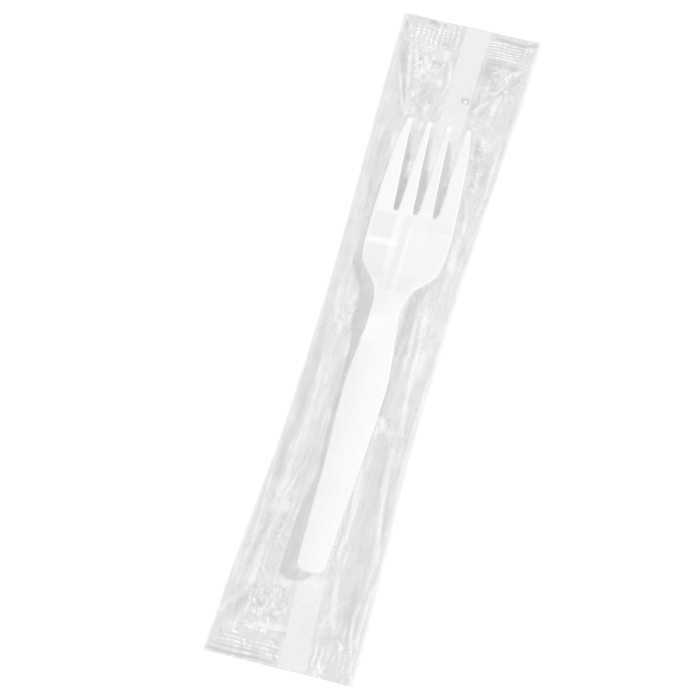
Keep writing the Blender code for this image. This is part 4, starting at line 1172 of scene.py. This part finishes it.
def clearFilm():
    recipe = Recipe("clearFilm")
    paintedLightShade, crumple = recipe.attribute("paintedLightShade"), recipe.attribute("crumple")
    loose, onFront = recipe.attribute("loose"), recipe.attribute("onFront")
    sealed = recipe.attribute("sealed")
    place = recipe.node("CombineXYZ", None, recipe.attribute("u"), recipe.attribute("v"), onFront * 0.05)

    # The seam strip: whiter, and denser where it is sealed
    seamAway = recipe.attribute("seamAway")
    half = sleeve["seamWidth"] / 2.0
    seam = (1.0 - seamAway.maths("ABSOLUTE").within(half - 0.0001, half + 0.0001)) * (1.0 - onFront)
    seamVeil = sealed * (filmLook["sealSeamVeil"] - filmLook["seamVeil"]) + filmLook["seamVeil"]
    plain = 1.0 - seam

    # Pressed ribs and lines, with painted shade in their valleys
    turn = 2.0 * math.pi
    valley = recipe.attribute("ribs") * (recipe.attribute("ribPhase") * turn).maths("COSINE")
    line = recipe.attribute("cross") * (recipe.attribute("crossPhase") * turn).maths("COSINE")
    cloud = recipe.node("TexNoise", None, Vector=place, Scale=filmLook["cloud"], Detail=4.0)
    patchy = recipe.node("TexNoise", None, Vector=place, Scale=filmLook["patches"], Detail=2.0)
    pressed = valley * filmLook["rib"] + line * filmLook["line"]
    pressed = pressed * (patchy.within(0.35, 0.6) * 0.4 + 0.6)

    # Crumpled film: thin painted highlights along its ridges and thin painted shade in its furrows
    bend = recipe.node("TexNoise", None, Vector=place, Scale=filmLook["bends"], Detail=2.0, output=1)
    bend = recipe.node("VectorMath", {"operation": "SCALE"}, bend, Scale=filmLook["bend"])
    bent = recipe.node("VectorMath", {"operation": "ADD"}, place, bend)
    drawn = recipe.node("VectorMath", {"operation": "MULTIPLY"}, bent, (1.0, 0.60, 1.0))
    fold = recipe.node("TexNoise", None, Vector=drawn, Scale=filmLook["folds"], Detail=2.0, Roughness=0.6)
    ridge = 1.0 - (fold - 0.5).maths("ABSOLUTE").within(0.0, 0.05)
    elsewhere = recipe.node("VectorMath", {"operation": "ADD"}, drawn, (0.37, 0.21, 0.11))
    other = recipe.node("TexNoise", None, Vector=elsewhere, Scale=filmLook["furrows"], Detail=2.0)
    furrow = 1.0 - (other - 0.45).maths("ABSOLUTE").within(0.0, 0.06)

    # Hair lines along the film
    stretched = recipe.node("VectorMath", {"operation": "MULTIPLY"}, place, (1.0, 0.06, 1.0))
    hairs = recipe.node("TexNoise", None, Vector=stretched, Scale=filmLook["hairs"], Detail=3.0)

    # The painted highlights and shade of every mark, with random cloud and hair lines, and the veil and
    # tone that they give
    shade = crumple * (ridge * filmLook["ridge"] - furrow * filmLook["furrow"])
    shade = shade + ((cloud - 0.5) * (crumple * 1.1 + 0.5) + (hairs - 0.5) * 0.8) * (loose * 0.85 + 0.15)
    shade = shade * plain + paintedLightShade - pressed
    bright = shade.maths("MAXIMUM", 0.0).maths("MINIMUM", filmLook["mostBright"])
    dull = (shade * -1.0).maths("MAXIMUM", 0.0)
    veil = recipe.attribute("veil") * plain + seam * seamVeil
    veil = veil + bright * filmLook["brightVeil"] + dull * filmLook["dullVeil"]
    recipe.set("Alpha", veil.maths("MAXIMUM", 0.01))
    share = (bright * 3.0).maths("MINIMUM", 1.0)
    tone = filmLook["tone"] + seam * (filmLook["whiteTone"] - filmLook["tone"])
    tone = tone + (filmLook["brightTone"] - filmLook["tone"]) * share * plain
    tone = tone - dull * (filmLook["tone"] - filmLook["dullTone"]) * 1.5
    tone = tone.maths("MINIMUM", filmLook["brightTone"]).maths("MAXIMUM", filmLook["dullTone"])
    recipe.set("Base Color", recipe.node("CombineColor", None, tone, tone, tone))
    recipe.set("Roughness", cloud * 0.10 + (filmLook["roughness"] - 0.05))
    height = crumple * (ridge * 0.5 - furrow * 0.4) + hairs * 0.2 + cloud * 0.3
    recipe.set("Normal", recipe.node("Bump", None, Strength=0.4, Distance=0.0002, Height=height))
    return recipe.material


# Pieces

plastic = whitePlastic()
whiteFork = makeFork(plastic)
print("Fork made:", len(whiteFork.data.polygons), "faces")
film = clearFilm()
filmSleeve = makeSleeve(film)
pressRibs(filmSleeve, film)
print("Sleeve made:", len(filmSleeve.data.polygons), "faces")

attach(whiteFork, "root")
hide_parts("fork")
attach(filmSleeve, "root")
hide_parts("film_sleeve")
filmSleeve.visible_shadow = False  # the film casts no shadow; its shadow on the floor is painted into the back film's denser veil
filmSleeve.visible_diffuse = False


# Floor, light and camera

stage = {"floorSize": 3.0, "floorDrop": 0.0001, "floorColour": 0.58, "floorGlow": 0.46,
         "world": 0.572, "sun": 1.27, "sunAngle": 7.0, "sunFrom": (0.82, 0.12, 1.0),
         "second": 0.60, "secondAngle": 24.0, "secondFrom": (-0.34, -0.22, 1.0)}
view = {"elevation": 61.606, "azimuth": 15.207, "away": 1.1032, "aim": (-0.006615, -0.007475, 0.0),
        "lens": 194.56, "sensor": 36.0}


def makeFloor():
    half = stage["floorSize"] / 2.0
    low = -stage["floorDrop"]
    recipe = Recipe("paleFloor")
    grey = stage["floorColour"]
    recipe.set("Base Color", (grey, grey, grey, 1.0))
    recipe.set("Roughness", 0.9)
    recipe.set("Emission Color", (1.0, 1.0, 1.0, 1.0))
    recipe.shader.inputs["Emission Strength"].default_value = stage["floorGlow"]
    recipe.shader.inputs["Specular IOR Level"].default_value = 0.0
    corners = [(-half, -half, low), (half, -half, low), (half, half, low), (-half, half, low)]
    floor = makeMesh("floor", corners, [(0, 1, 2, 3)], recipe.material)


def aimed(item, direction, away):
    place = Vector(direction).normalized() * away
    item.location = place
    item.rotation_euler = place.to_track_quat("Z", "Y").to_euler()


def makeLights():
    for name in ("sun", "second"):
        data = bpy.data.lights.new(name + "Light", "SUN")
        data.energy = stage[name]
        data.angle = math.radians(stage[name + "Angle"])
        lamp = bpy.data.objects.new(name + "Light", data)
        bpy.context.scene.collection.objects.link(lamp)
        aimed(lamp, stage[name + "From"], 1.0)


def makeWorld():
    world = bpy.data.worlds.new("studio")
    bpy.context.scene.world = world
    world.use_nodes = True
    tree = world.node_tree
    back = tree.nodes["Background"]
    path = tree.nodes.new("ShaderNodeLightPath")
    mix = tree.nodes.new("ShaderNodeMapRange")
    tree.links.new(path.outputs["Is Camera Ray"], mix.inputs["Value"])
    mix.inputs["To Min"].default_value = stage["world"]
    mix.inputs["To Max"].default_value = 1.0
    back.inputs["Color"].default_value = (1.0, 1.0, 1.0, 1.0)
    tree.links.new(mix.outputs["Result"], back.inputs["Strength"])


def makeCamera():
    data = bpy.data.cameras.new("camera")
    data.lens = view["lens"]
    data.sensor_width = view["sensor"]
    data.sensor_fit = "HORIZONTAL"
    data.clip_start, data.clip_end = 0.01, 20.0
    camera = bpy.data.objects.new("camera", data)
    bpy.context.scene.collection.objects.link(camera)
    up, turn = math.radians(view["elevation"]), math.radians(view["azimuth"])
    back = Vector((math.sin(turn) * math.cos(up), -math.cos(turn) * math.cos(up), math.sin(up)))
    camera.location = Vector(view["aim"]) + back * view["away"]
    camera.rotation_euler = back.to_track_quat("Z", "Y").to_euler()
    bpy.context.scene.camera = camera


makeFloor()
makeLights()
makeWorld()
makeCamera()
bpy.context.scene.view_settings.view_transform = "Standard"
print("Stage set")
